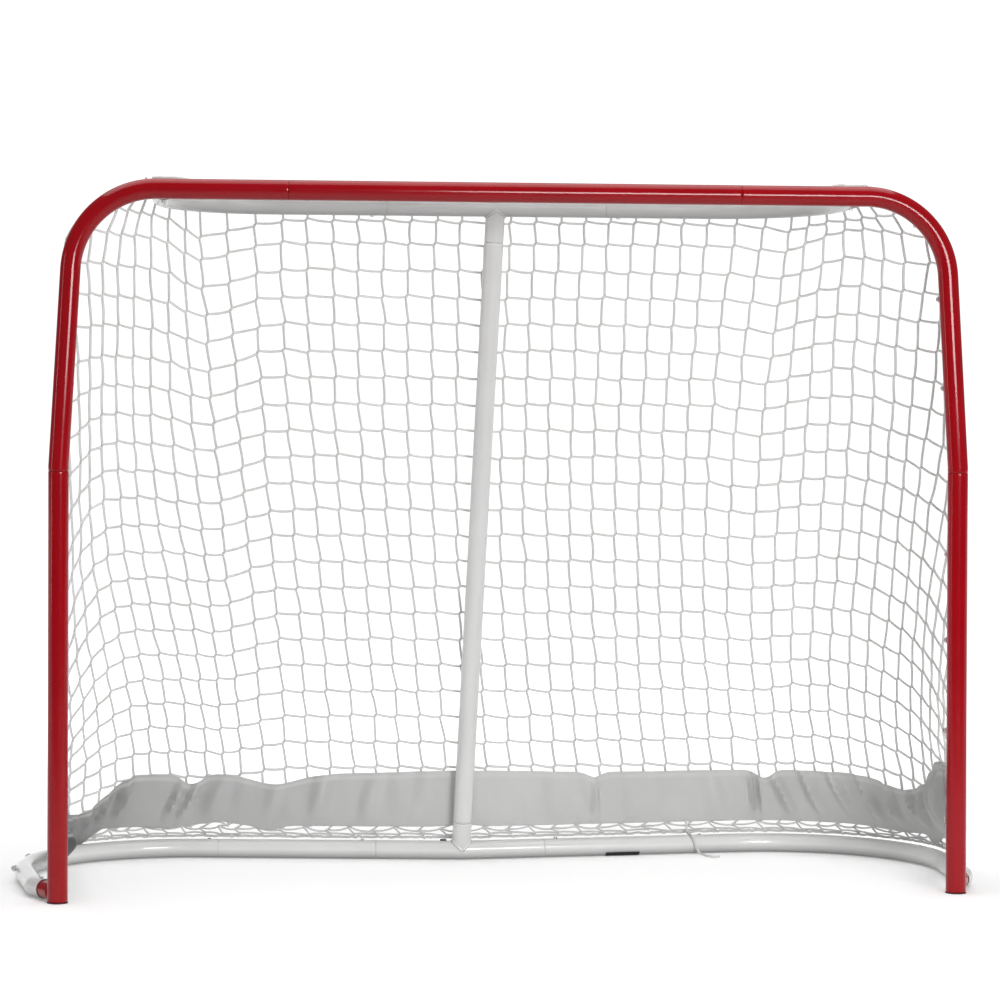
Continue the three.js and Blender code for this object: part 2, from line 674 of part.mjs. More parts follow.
// The loose end of the lacing cord: over the base tube, down its front and along the floor.
function lacingTail() {
  const tubeLine = (x, inFront, height) => {
    const { x: slope, y: rise } = baseHeading(1);
    return v3(x, BASE_DEPTH + (x - BASE_TEE_CENTRE) * (rise / slope) - inFront, height);
  };
  const route = new THREE.CatmullRomCurve3([
    tubeLine(418, -5, 62),
    tubeLine(419.5, -5, 50),
    tubeLine(421, -4, 38.3),
    tubeLine(425, 9.4, 37.3),
    tubeLine(429, 19, 28.3),
    tubeLine(433, 22.9, 15),
    tubeLine(438, 29.6, 4.5),
    tubeLine(443, 44, 2.4),
    tubeLine(446, 60, 2.4),
    tubeLine(451, 73, 2.4),
    tubeLine(459, 80, 2.4),
    tubeLine(467, 79, 2.4),
  ]);
  const section = new THREE.Shape(polygonPoints(2, 8));
  const cord = new THREE.ExtrudeGeometry(section, { steps: 18, extrudePath: route, bevelEnabled: false });
  add('lacing_tail', cord, TWINE);
}

// --- Small fittings on the base tube ----------------------------------------------------------------

// Part of a sleeve round a tube along +X, between two angles measured up from straight back.
function partSleeve(inner, outer, fromAngle, toAngle, length, steps) {
  const angles = spread(THREE.MathUtils.degToRad(fromAngle), THREE.MathUtils.degToRad(toAngle), steps);
  const ring = (radius) => angles.map((a) => new THREE.Vector2(radius * Math.cos(a), radius * Math.sin(a)));
  const shape = new THREE.Shape([...ring(outer), ...ring(inner).reverse()]);
  const strip = new THREE.ExtrudeGeometry(shape, { depth: length, bevelEnabled: false });
  const turn = new THREE.Matrix4().makeBasis(v3(0, 1, 0), v3(0, 0, 1), v3(1, 0, 0));
  return strip.translate(0, 0, -length / 2).applyMatrix4(turn);
}

function alignToBase(geometry, side, across) {
  const { x, y } = baseHeading(side).multiplyScalar(-side);
  const place = baseBackPoint(side, across);
  return geometry.rotateZ(Math.atan2(y, x)).translate(place.x, place.y, place.z);
}

function smallFittings() {
  const pad = partSleeve(18.5, 19.7, 213, 240, 66, 2);
  add('wear_strip', alignToBase(pad, 1, 311), RUBBER);
  const tie = partSleeve(18.9, 20.2, -40, 100, 12, 7);
  add('cable_tie', alignToBase(tie, -1, 33), RUBBER);
}

// --- Assembly ---------------------------------------------------------------------------------------

const barSnaps = [];
const shelfTeeSnaps = [];
const baseTeeSnaps = [];
for (const side of [-1, 1]) {
  const { postSnap, footSnap } = lowerPost(side);
  footCap(side);
  const { barSnap, armSnap } = cornerTube(side, postSnap);
  barSnaps.push(barSnap);
  baseTeeSnaps.push(baseStraight(side, baseArc(side, footSnap)));
  shelfTeeSnaps.push(shelfArm(side, armSnap));
}
crossbarMiddle(barSnaps);
centrePost(shelfTeePiece(shelfTeeSnaps), baseTeePiece(baseTeeSnaps));
nets();
netRoof();
skirt();
lacingTail();
smallFittings();

for (const joint of snapJoints) {
  placeInJoint(add(`snap_button_${joint.name}`, buttonGeometry(), STEEL), joint);
  placeInJoint(add(`snap_spring_${joint.name}`, springGeometry(), STEEL), joint);
}

// The origin is the middle of the footprint, on the ground.
goal.updateMatrixWorld(true);
const middle = new THREE.Box3().setFromObject(goal).getCenter(v3(0, 0, 0));
goal.position.set(-middle.x, -middle.y, 0);

export default goal;
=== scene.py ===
"""Knock-down steel hockey goal: smooth tubes, snap buttons, knotted net, hanging skirt and lacing cord.

Lengths are in millimetres in the goal's own frame, where the front posts stand on Y = 0 and the
middle of the mouth is X = 0; place() turns them into metres in the row frame.
"""
import math
import random

import bmesh
import bpy
import numpy as np
from mathutils import Matrix, Vector


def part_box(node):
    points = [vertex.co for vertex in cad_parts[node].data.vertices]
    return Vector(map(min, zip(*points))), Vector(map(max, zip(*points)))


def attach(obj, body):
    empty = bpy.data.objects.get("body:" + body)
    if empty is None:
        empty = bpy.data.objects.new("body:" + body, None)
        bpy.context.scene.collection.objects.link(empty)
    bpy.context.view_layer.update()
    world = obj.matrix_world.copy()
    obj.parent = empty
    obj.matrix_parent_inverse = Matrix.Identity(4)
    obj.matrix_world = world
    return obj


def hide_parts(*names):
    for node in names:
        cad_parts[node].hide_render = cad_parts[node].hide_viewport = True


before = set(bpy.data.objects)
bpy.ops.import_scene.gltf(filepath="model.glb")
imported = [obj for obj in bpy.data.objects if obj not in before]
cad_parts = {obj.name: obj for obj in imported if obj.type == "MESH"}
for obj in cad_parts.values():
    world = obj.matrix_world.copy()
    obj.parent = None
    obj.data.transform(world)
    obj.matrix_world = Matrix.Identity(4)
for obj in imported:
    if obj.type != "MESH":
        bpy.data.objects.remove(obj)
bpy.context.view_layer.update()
random.seed(7)

# --- The goal's own dimensions, as in the CAD source ---------------------------------------------
OUTER, BORE, SPIGOT, SPIGOT_BORE = 17.5, 16.0, 15.4, 13.9
SEAM_GAP = 0.3
POST_X, BAR_Z, POST_JOINT = 779.5, 1211.0, 732.0
LEAN = math.radians(3.2)
CORNER_RADIUS, BAR_SEAM = 145.0, 392.0
SHELF_Y, SHELF_X, SHELF_RADIUS = 333.0, 602.0, 200.0
SHELF_TEE = np.array([14.0, SHELF_Y, BAR_Z])
SHELF_TEE_HALF, SHELF_STUB = 201.0, 33.0
BASE_TEE = np.array([-23.0, 500.0, OUTER])
BASE_TEE_HALF, BASE_SEAM, BASE_TEE_RADIUS = 158.0, 452.0, 90.0
BASE_CORNER_X, BASE_CORNER_Y, BASE_RADIUS = 873.2, 612.4, 290.0
TOE_OUT, FOOT_LEG, FOOT_RADIUS, FOOT_STUB = math.radians(25), 90.0, 60.0, 50.0
TOP_STUB, BOTTOM_STUB = 64.0, 54.0
BUTTON_TOP = OUTER + 2.5
NET_OFFSET = 26.0
NET_FRONT = 34.0
ROOF_Z = 1231.2

UP = np.array([0.0, 0.0, 1.0])
BACK = np.array([0.0, 1.0, 0.0])


def vec(x, y, z):
    return np.array([x, y, z], float)


def unit(v):
    return np.asarray(v, float) / np.linalg.norm(v)


def cap_centre(node):
    low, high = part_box(node)
    return (low + high) / 2


CAPS = [cap_centre("left_foot_cap"), cap_centre("right_foot_cap")]
SHIFT = np.array([(CAPS[0].x + CAPS[1].x) / 2, (CAPS[0].y + CAPS[1].y) / 2, 0.0])


def place(points):
    return np.asarray(points, float) / 1000 + SHIFT


# --- Camera, from the front left of the goal's middle --------------------------------------------
CAMERA_AT = vec(-806.7, -5300.0, 781.9)
CAMERA_YAW, CAMERA_PITCH, CAMERA_ROLL = 0.09833, -0.009218, 0.003285


def make_camera():
    data = bpy.data.cameras.new("camera")
    data.sensor_width = 36.0
    data.lens = 112.284
    data.shift_x, data.shift_y = 0.150, -0.0288
    data.clip_start, data.clip_end = 0.1, 200.0
    level = vec(math.sin(CAMERA_YAW), math.cos(CAMERA_YAW), 0)
    across = vec(math.cos(CAMERA_YAW), -math.sin(CAMERA_YAW), 0)
    ahead = math.cos(CAMERA_PITCH) * level + math.sin(CAMERA_PITCH) * UP
    over = -math.sin(CAMERA_PITCH) * level + math.cos(CAMERA_PITCH) * UP
    x_axis = math.cos(CAMERA_ROLL) * across + math.sin(CAMERA_ROLL) * over
    y_axis = -math.sin(CAMERA_ROLL) * across + math.cos(CAMERA_ROLL) * over
    turn = Matrix([x_axis, y_axis, -ahead]).transposed().to_4x4()
    camera = bpy.data.objects.new("camera", data)
    camera.matrix_world = Matrix.Translation(Vector(place(CAMERA_AT))) @ turn
    bpy.context.scene.collection.objects.link(camera)
    bpy.context.scene.camera = camera


make_camera()


# --- Materials ------------------------------------------------------------------------------------
def new_material(name, **sockets):
    material = bpy.data.materials.new(name)
    material.use_nodes = True
    tree = material.node_tree
    shader = tree.nodes["Principled BSDF"]
    for socket, value in sockets.items():
        shader.inputs[socket.replace("_", " ")].default_value = value
    return material, tree, shader


def node(tree, kind, **inputs):
    made = tree.nodes.new(kind)
    for name, value in inputs.items():
        made.inputs[name.replace("_", " ")].default_value = value
    return made


def noise(tree, scale, detail=3.0, roughness=0.5):
    coords = tree.nodes.new("ShaderNodeTexCoord")
    made = node(tree, "ShaderNodeTexNoise", Scale=scale, Detail=detail, Roughness=roughness)
    tree.links.new(coords.outputs["Object"], made.inputs["Vector"])
    return made.outputs["Fac"]


def ramp(tree, source, stops):
    made = tree.nodes.new("ShaderNodeValToRGB")
    elements = made.color_ramp.elements
    while len(elements) < len(stops):
        elements.new(0.5)
    for element, (position, colour) in zip(elements, stops):
        element.position = position
        element.color = (*colour, 1.0)
    tree.links.new(source, made.inputs["Fac"])
    return made.outputs["Color"]


def maths(tree, operation, a, b=0.0, clamp=False):
    made = tree.nodes.new("ShaderNodeMath")
    made.operation = operation
    made.use_clamp = clamp
    for socket, value in zip(made.inputs, (a, b)):
        if isinstance(value, (int, float)):
            socket.default_value = value
        else:
            tree.links.new(value, socket)
    return made.outputs[0]


def blend_colours(tree, factor, a, b, kind="MIX"):
    made = tree.nodes.new("ShaderNodeMix")
    made.data_type = "RGBA"
    made.blend_type = kind
    for socket, value in ((made.inputs[0], factor), (made.inputs[6], a), (made.inputs[7], b)):
        if isinstance(value, (int, float)):
            socket.default_value = value
        elif isinstance(value, tuple):
            socket.default_value = (*value, 1.0)
        else:
            tree.links.new(value, socket)
    return made.outputs[2]


def bump(tree, shader, height, strength, distance):
    made = node(tree, "ShaderNodeBump", Strength=strength, Distance=distance)
    tree.links.new(height, made.inputs["Height"])
    if shader.inputs["Normal"].is_linked:
        tree.links.new(shader.inputs["Normal"].links[0].from_socket, made.inputs["Normal"])
    tree.links.new(made.outputs["Normal"], shader.inputs["Normal"])


def attribute(tree, name):
    made = tree.nodes.new("ShaderNodeAttribute")
    made.attribute_name = name
    return made.outputs["Fac"]


def split_axes(tree, source):
    made = tree.nodes.new("ShaderNodeSeparateXYZ")
    tree.links.new(source, made.inputs[0])
    return made.outputs


def fade(tree, source, near, far, start, end):
    """Goes smoothly from one level to another as the source goes from near to far."""
    made = node(tree, "ShaderNodeMapRange", From_Min=near, From_Max=far, To_Min=start, To_Max=end)
    made.interpolation_type = "SMOOTHSTEP"
    tree.links.new(source, made.inputs["Value"])
    return made.outputs["Result"]


def paint(name, low, high, chip, roughness, peel, gloss, under):
    """Glossy paint on steel: clouded colour, orange peel, worn edges at the tube ends, and painted shade that
    darkens whatever faces down, by the factor under."""
    material, tree, shader = new_material(name, Roughness=roughness)
    shader.inputs["Specular IOR Level"].default_value = gloss
    cloud = ramp(tree, noise(tree, 9.0, 4.0), [(0.3, low), (0.7, high)])
    speck = ramp(tree, noise(tree, 420.0, 2.0), [(0.28, (0.86,) * 3), (0.34, (1.0,) * 3)])
    colour = blend_colours(tree, 0.35, cloud, speck, "MULTIPLY")
    # Painted shade: the colour is darkened on faces that point down, as far as the factor under.
    facing = tree.nodes.new("ShaderNodeNewGeometry")
    axes = split_axes(tree, facing.outputs["Normal"])
    lift = maths(tree, "MULTIPLY", maths(tree, "ADD", axes["Z"], 1.0), 0.5)
    painted_underside_shade = ramp(tree, lift, [(0.0, (under,) * 3), (0.55, (1.0,) * 3)])
    colour = blend_colours(tree, 1.0, colour, painted_underside_shade, "MULTIPLY")
    worn = maths(tree, "MULTIPLY", attribute(tree, "rim"), noise(tree, 160.0, 4.0, 0.7))
    chipped = maths(tree, "GREATER_THAN", worn, 0.64)
    tree.links.new(blend_colours(tree, chipped, colour, chip), shader.inputs["Base Color"])
    scuff = noise(tree, 38.0, 5.0, 0.65)
    rough = ramp(tree, scuff, [(0.35, (roughness,) * 3), (0.8, (roughness + 0.04,) * 3)])
    tree.links.new(rough, shader.inputs["Roughness"])
    bump(tree, shader, noise(tree, 230.0, 2.0), peel, 0.0004)
    return material


PLAIT_RATE = 1900.0         # radians of the twine's plait per metre
THREAD_RATE = 2400.0        # radians of the skirt's weave per metre


def twine_material():
    material, tree, shader = new_material("net_twine", Roughness=0.78)
    shader.inputs["Sheen Weight"].default_value = 0.1
    shader.inputs["Sheen Roughness"].default_value = 0.5
    along, around = attribute(tree, "along"), attribute(tree, "around")
    turns = maths(tree, "MULTIPLY", along, PLAIT_RATE)
    plait = maths(tree, "SINE", maths(tree, "ADD", turns, around))
    other = maths(tree, "SUBTRACT", turns, around)
    weave = maths(tree, "MAXIMUM", plait, maths(tree, "SINE", other))
    deep = ramp(tree, weave, [(0.0, (0.54, 0.54, 0.535)), (0.45, (0.73, 0.73, 0.725))])
    soil = ramp(tree, noise(tree, 14.0, 4.0), [(0.35, (0.94, 0.94, 0.93)), (0.65, (1.0,) * 3)])
    colour = blend_colours(tree, 1.0, deep, soil, "MULTIPLY")
    tree.links.new(colour, shader.inputs["Base Color"])
    bump(tree, shader, weave, 0.35, 0.0004)
    bump(tree, shader, noise(tree, 1500.0, 3.0), 0.3, 0.0003)
    return material


def skirt_material():
    material, tree, shader = new_material("skirt_sheet", Roughness=0.5)
    shader.inputs["Sheen Weight"].default_value = 0.12
    shader.inputs["Sheen Roughness"].default_value = 0.4
    across, down = attribute(tree, "along"), attribute(tree, "around")
    warp = maths(tree, "SINE", maths(tree, "MULTIPLY", across, THREAD_RATE))
    weft = maths(tree, "SINE", maths(tree, "MULTIPLY", down, THREAD_RATE))
    cloth = maths(tree, "MULTIPLY", warp, weft)
    cloud = ramp(tree, noise(tree, 5.0, 5.0, 0.6), [(0.3, (0.50, 0.505, 0.50)), (0.7, (0.57, 0.57, 0.565))])
    thread = ramp(tree, cloth, [(0.0, (0.93,) * 3), (0.6, (1.0,) * 3)])
    colour = blend_colours(tree, 1.0, cloud, thread, "MULTIPLY")
    # Painted shade: the sheet is greyer towards both posts, and darkest at the left, where it turns away from
    # the light.
    painted_end_shade = ramp(tree, maths(tree, "DIVIDE", across, 3.0), [
        (0.0, (0.12,) * 3), (0.09, (0.19,) * 3), (0.16, (0.5,) * 3), (0.24, (0.85,) * 3), (0.42, (1.0,) * 3),
        (0.70, (1.0,) * 3), (0.82, (0.86,) * 3), (0.90, (0.62,) * 3), (1.0, (0.55,) * 3)])
    colour = blend_colours(tree, 1.0, colour, painted_end_shade, "MULTIPLY")
    hem = attribute(tree, "rim")
    stitched = blend_colours(tree, maths(tree, "MULTIPLY", hem, 0.55), colour, (0.62, 0.62, 0.61))
    tree.links.new(stitched, shader.inputs["Base Color"])
    rough = ramp(tree, noise(tree, 11.0, 3.0), [(0.3, (0.42,) * 3), (0.7, (0.6,) * 3)])
    tree.links.new(rough, shader.inputs["Roughness"])
    bump(tree, shader, cloth, 0.25, 0.0003)
    bump(tree, shader, noise(tree, 28.0, 4.0, 0.6), 0.35, 0.004)
    return material


def steel_material():
    material, tree, shader = new_material("button_steel", Metallic=1.0, Roughness=0.2)
    tint = ramp(tree, noise(tree, 260.0, 3.0), [(0.3, (0.50, 0.50, 0.51)), (0.7, (0.72, 0.72, 0.73))])
    tree.links.new(tint, shader.inputs["Base Color"])
    rough = ramp(tree, noise(tree, 600.0, 2.0), [(0.3, (0.14,) * 3), (0.7, (0.34,) * 3)])
    tree.links.new(rough, shader.inputs["Roughness"])
    return material


def rubber_material(name, low, high, roughness):
    material, tree, shader = new_material(name, Roughness=roughness)
    tree.links.new(ramp(tree, noise(tree, 90.0, 3.0), [(0.3, low), (0.7, high)]), shader.inputs["Base Color"])
    bump(tree, shader, noise(tree, 900.0, 2.0), 0.4, 0.0003)
    return material


# under: how dark the painted shade on down-facing faces gets.
RED = paint("red_paint", low=(0.298, 0.0012, 0.0052), high=(0.33, 0.0016, 0.0068),
            chip=(0.30, 0.29, 0.28), roughness=0.11, peel=0.06, gloss=0.28, under=0.62)
WHITE = paint("white_paint", low=(0.72, 0.72, 0.715), high=(0.76, 0.76, 0.755),
              chip=(0.36, 0.35, 0.33), roughness=0.15, peel=0.08, gloss=0.6, under=0.34)
TWINE = twine_material()
SKIRT = skirt_material()
STEEL = steel_material()
RUBBER = rubber_material("black_rubber", (0.006,) * 3, (0.014,) * 3, 0.7)
CAP = rubber_material("cap_plastic", (0.012, 0.002, 0.003), (0.030, 0.004, 0.006), 0.55)


# --- Mesh building --------------------------------------------------------------------------------
class Shape:
    """Vertices in millimetres, faces, and three numbers per vertex that the materials read."""

    def __init__(self):
        self.points, self.faces, self.along, self.around, self.rim = [], [], [], [], []

    def add(self, points, faces, along=None, around=None, rim=None):
        start = len(self.points)
        points = np.asarray(points, float)
        count = len(points)
        self.points.extend(points.tolist())
        self.faces.extend([tuple(start + i for i in face) for face in faces])
        for store, values in ((self.along, along), (self.around, around), (self.rim, rim)):
            store.extend([0.0] * count if values is None else list(values))
        return self

    def mesh(self, name):
        mesh = bpy.data.meshes.new(name)
        mesh.from_pydata(place(np.array(self.points)).tolist(), [], self.faces)
        for label in ("along", "around", "rim"):
            data = mesh.attributes.new(label, "FLOAT", "POINT")
            data.data.foreach_set("value", np.array(getattr(self, label), np.float32))
        mesh.validate()
        return mesh


def make_piece(name, mesh, material, body, nodes, sharp=35.0):
    piece = bpy.data.objects.new(name, mesh)
    bpy.context.scene.collection.objects.link(piece)
    mesh.materials.clear()
    mesh.materials.append(material)
    mesh.shade_smooth()
    mesh.set_sharp_from_angle(angle=math.radians(sharp))
    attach(piece, body)
    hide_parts(*nodes)
    return piece


def bent_path(corners, radii, step=3.0):
    """Straight legs, each corner rounded by its own bend radius: points and directions."""
    corners = [np.asarray(c, float) for c in corners]
    headings = [unit(b - a) for a, b in zip(corners, corners[1:])]
    points, directions = [corners[0]], [headings[0]]
    for i, radius in enumerate(radii):
        into, out = headings[i], headings[i + 1]
        turn = math.acos(np.clip(into @ out, -1, 1))
        axis = unit(np.cross(into, out))
        start = corners[i + 1] - into * radius * math.tan(turn / 2)
        centre = start + np.cross(axis, into) * radius
        steps = max(2, math.ceil(math.degrees(turn) / step - 1e-9))
        for k in range(steps + 1):
            turned = Matrix.Rotation(turn * k / steps, 3, Vector(axis))
            points.append(np.array(turned @ Vector(start - centre)) + centre)
            directions.append(np.array(turned @ Vector(into)))
    points.append(corners[-1])
    directions.append(headings[-1])
    return np.array(points), np.array(directions)


def line(a, b):
    return bent_path([a, b], [])


def side_axes(directions):
    """Two axes across the path at each station, carried along it without twist."""
    first = directions[0]
    hint = UP if abs(first[2]) < 0.9 else BACK
    x = unit(hint - first * (hint @ first))
    axes = []
    for direction in directions:
        x = unit(x - direction * (x @ direction))
        axes.append((x, np.cross(direction, x)))
    return axes


def ring(point, axes, radius, sides):
    angles = np.arange(sides) * 2 * math.pi / sides
    x, y = axes
    return point + radius * (np.outer(np.cos(angles), x) + np.outer(np.sin(angles), y))


def ring_faces(rings, sides, closed):
    faces = []
    for r in range(rings if closed else rings - 1):
        a, b = r * sides, ((r + 1) % rings) * sides
        for k in range(sides):
            n = (k + 1) % sides
            faces.append((a + k, a + n, b + n, b + k))
    return faces


SIDES, ROUND_OFF = 48, 0.8


def pipe(path, outer=OUTER, bore=BORE):
    """An open tube with its rims rounded off and its bore all the way through."""
    points, directions = path
    axes = side_axes(directions)
    rings, rims = [], []

    def put(index, back, radius, rim):
        centre = points[index] + directions[index] * back
        rings.append(ring(centre, axes[index], radius, SIDES))
        rims.extend([rim] * SIDES)

    last = len(points) - 1
    near_rim = [
        (0.0, outer - ROUND_OFF, 1.0), (0.3 * ROUND_OFF, outer - 0.3 * ROUND_OFF, 1.0),
        (ROUND_OFF, outer, 0.9), (4.0, outer, 0.45), (9.0, outer, 0.0),
    ]
    for back, radius, rim in near_rim:
        put(0, back, radius, rim)
    for i in range(1, last):
        put(i, 0.0, outer, 0.0)
    for back, radius, rim in reversed(near_rim):
        put(last, -back, radius, rim)
    put(last, 0.0, bore + 0.2, 1.0)
    put(last, -0.3, bore, 1.0)
    for i in range(last - 1, 0, -1):
        put(i, 0.0, bore, 0.0)
    put(0, 0.3, bore, 1.0)
    put(0, 0.0, bore + 0.2, 1.0)
    shape = Shape()
    shape.add(np.concatenate(rings), ring_faces(len(rings), SIDES, True), rim=rims)
    return shape


def lathe(profile, point, direction, sides=32, rim=0.0):
    """A closed turned solid: (radius, distance along the direction) from end to end."""
    direction = unit(direction)
    axes = side_axes([direction])[0]
    points, rows = [], []
    for radius, along in profile:
        centre = point + direction * along
        if radius < 1e-6:
            rows.append([len(points)])
            points.append(centre)
        else:
            rows.append(list(range(len(points), len(points) + sides)))
            points.extend(ring(centre, axes, radius, sides))
    faces = []
    for a, b in zip(rows, rows[1:]):
        for k in range(sides):
            n = (k + 1) % sides
            if len(a) == 1:
                faces.append((a[0], b[n], b[k])[::-1])
            elif len(b) == 1:
                faces.append((a[k], a[n], b[0]))
            else:
                faces.append((a[k], a[n], b[n], b[k]))
    return Shape().add(points, faces, rim=[rim] * len(points))


def spigot(point, direction, length):
    """The reduced end of a tube, open inside, rooted within the tube's own wall."""
    tube = line(point - unit(direction) * 5.0, point + unit(direction) * length)
    return pipe(tube, SPIGOT, SPIGOT_BORE)


def peg(point, outward):
    """A small welded stud with a head and a bead of weld at its root."""
    profile = [
        (0.0, 15.2), (3.9, 15.2), (3.9, 16.9), (3.4, 17.7), (2.6, 18.2), (2.4, 18.8),
        (2.4, 23.6), (3.2, 24.5), (3.9, 25.3), (3.7, 26.0), (2.4, 26.8), (0.0, 27.0),
    ]
    return lathe(profile, point, outward, 20, 0.3)


def weld(centre, tube_axis, out, tube_radius, stub_radius, bead=2.1):
    """The bead where a stub meets a tube: a saddle curve with a ripple in it."""
    across = unit(np.cross(tube_axis, out))
    steps, sides = 72, 8
    curve = []
    for k in range(steps):
        angle = 2 * math.pi * k / steps
        lateral, side = stub_radius * math.cos(angle), stub_radius * math.sin(angle)
        rise = math.sqrt(max(0.0, tube_radius ** 2 - side ** 2))
        curve.append(centre + lateral * tube_axis + side * across + rise * out)
    curve = np.array(curve)
    rings = []
    for k in range(steps):
        tangent = unit(curve[(k + 1) % steps] - curve[k - 1])
        radial = curve[k] - centre
        radial = radial - out * (radial @ out)
        x = unit(radial - tangent * (radial @ tangent))
        size = bead * (1 + 0.14 * math.sin(k * 2 * math.pi * 18 / steps))
        rings.append(ring(curve[k], (x, np.cross(tangent, x)), size, sides))
    return Shape().add(np.concatenate(rings), ring_faces(steps, sides, True), rim=[0.3] * steps * sides)


# --- Snap joints ----------------------------------------------------------------------------------
SNAPS = {}


def snap(name, seam, direction, facing, inset=25.0):
    along = unit(direction)
    outward = unit(facing - along * (facing @ along))
    SNAPS[name] = (np.asarray(seam, float) + along * inset, along, outward)
    return name


def hole_cutters(names):
    shape = Shape()
    for name in names:
        point, _, outward = SNAPS[name]
        low, high = SPIGOT_BORE - 5, OUTER + 5
        drill = lathe([(0, low), (4.1, low), (4.1, high), (0, high)], point, outward, 32)
        shape.add(drill.points, drill.faces)
    cutter = bpy.data.objects.new("cutter", shape.mesh("cutter"))
    bpy.context.scene.collection.objects.link(cutter)
    return cutter


def with_holes(name, shapes, snaps):
    """One mesh from several closed shells, each drilled for the snap buttons."""
    cutter = hole_cutters(snaps) if snaps else None
    whole = bmesh.new()
    for shape, drilled in shapes:
        mesh = shape.mesh("shell")
        if cutter is not None and drilled:
            shell = bpy.data.objects.new("shell", mesh)
            bpy.context.scene.collection.objects.link(shell)
            holes = shell.modifiers.new("holes", "BOOLEAN")
            holes.operation, holes.solver, holes.object = "DIFFERENCE", "EXACT", cutter
            graph = bpy.context.evaluated_depsgraph_get()
            mesh = bpy.data.meshes.new_from_object(shell.evaluated_get(graph))
            bpy.data.objects.remove(shell)
        whole.from_mesh(mesh)
    bmesh.ops.recalc_face_normals(whole, faces=whole.faces)
    made = bpy.data.meshes.new(name)
    whole.to_mesh(made)
    whole.free()
    if cutter is not None:
        bpy.data.objects.remove(cutter)
    return made


# --- Paths ----------------------------------------------------------------------------------------
def post_joint(side):
    return vec(side * POST_X, 0, POST_JOINT)


def toe_out(side):
    return vec(side * math.sin(TOE_OUT), math.cos(TOE_OUT), 0)


def foot_point(side):
    return vec(side * POST_X, 0, OUTER)


def base_corner(side):
    return vec(side * BASE_CORNER_X, BASE_CORNER_Y, OUTER)


def base_heading(side):
    return unit(BASE_TEE - base_corner(side))


def base_point(side, across):
    heading = base_heading(side)
    return BASE_TEE - heading * across / abs(heading[0])


def foot_rim(side):
    return foot_point(side) + toe_out(side) * FOOT_STUB


POST_AXIS = unit(BASE_TEE - SHELF_TEE)
PEG_TURN = math.radians(35)
NAMES = {-1: "left", 1: "right"}
POST_PEG_HEIGHTS = (126, 282, 440, 590)
CORNER_PEG_HEIGHTS = (880, 1035)
BAR_PEG_PLACES = (-280, 0, 280)
COARSE = 15.0                             # degrees of bend between the stations that pegs stand on
STUB_SPIGOT = 44.0                        # how far a spigot reaches into the next tube
SHORT_SPIGOT = 34.0
PEG_PLACES = {-1: [], 1: [], 0: []}       # where the net's lacing catches on each side


def add_peg(shapes, side, point, outward):
    outward = unit(outward)
    PEG_PLACES[side].append((np.asarray(point, float), outward))
    shapes.append((peg(np.asarray(point, float), outward), False))


def lower_post(side):
    name = NAMES[side]
    post_snap = snap("post_" + name, post_joint(side), -UP, BACK)
    foot_snap = snap("foot_" + name, foot_rim(side), toe_out(side), UP, 15.0)
    axis = foot_point(side)
    stub = line(axis + toe_out(side) * 15.0, foot_rim(side) + toe_out(side) * 28.0)
    shapes = [
        (pipe(line(vec(side * POST_X, 0, 2.3), post_joint(side))), True),
        (pipe(stub, SPIGOT, SPIGOT_BORE), True),
        (weld(axis, UP, toe_out(side), OUTER, SPIGOT, 1.8), False),
    ]
    facing = vec(-side * math.sin(PEG_TURN), math.cos(PEG_TURN), 0)
    for height in POST_PEG_HEIGHTS:
        add_peg(shapes, side, vec(side * POST_X, 0, height), facing)
    mesh = with_holes(name + "_post", shapes, [post_snap, foot_snap])
    make_piece(f"tube_{name}_post", mesh, RED, "frame", [f"{name}_post_lower"])


def corner_tube(side):
    name = NAMES[side]
    rise = BAR_Z - POST_JOINT
    corner = vec(side * (POST_X - rise * math.tan(LEAN)), 0, BAR_Z)
    seam = vec(side * BAR_SEAM, 0, BAR_Z)
    start = post_joint(side) + UP * SEAM_GAP
    points, directions = bent_path([start, corner, seam], [CORNER_RADIUS])
    directions[0] = UP
    bar_snap = snap("bar_" + name, seam, directions[-1], BACK)
    front = vec(side * SHELF_X, 0, BAR_Z)
    arm_seam = front + BACK * SHELF_STUB
    arm_snap = snap("shelf_arm_" + name, arm_seam, BACK, -UP)
    stub = line(front + BACK * 14.5, arm_seam + BACK * STUB_SPIGOT)
    shapes = [
        (pipe((points, directions)), True),
        (pipe(stub, SPIGOT, SPIGOT_BORE), True),
        (spigot(start, -UP, STUB_SPIGOT), True),
        (spigot(seam, directions[-1], STUB_SPIGOT), True),
        (weld(front, vec(1, 0, 0), BACK, OUTER, SPIGOT, 1.8), False),
    ]
    for height in CORNER_PEG_HEIGHTS:
        x = POST_X - (height - POST_JOINT) * math.tan(LEAN)
        facing = vec(-side * math.sin(PEG_TURN), math.cos(PEG_TURN), 0)
        add_peg(shapes, side, vec(side * x, 0, height), facing)
    coarse = bent_path([post_joint(side), corner, seam], [CORNER_RADIUS], COARSE)[0]
    add_peg(shapes, side, coarse[4], vec(-side * 0.35, 1, -0.35))
    mesh = with_holes(name + "_corner", shapes, ["post_" + name, bar_snap, arm_snap])
    make_piece(f"tube_{name}_corner", mesh, RED, "frame", [f"{name}_corner_tube"])


def crossbar_middle():
    half = BAR_SEAM - SEAM_GAP
    shapes = [(pipe(line(vec(-half, 0, BAR_Z), vec(half, 0, BAR_Z))), True)]
    for x in BAR_PEG_PLACES:
        add_peg(shapes, 0, vec(x, 0, BAR_Z), vec(0, 1, -0.3))
    mesh = with_holes("crossbar", shapes, ["bar_left", "bar_right"])
    make_piece("tube_crossbar", mesh, RED, "frame", ["crossbar_middle"])


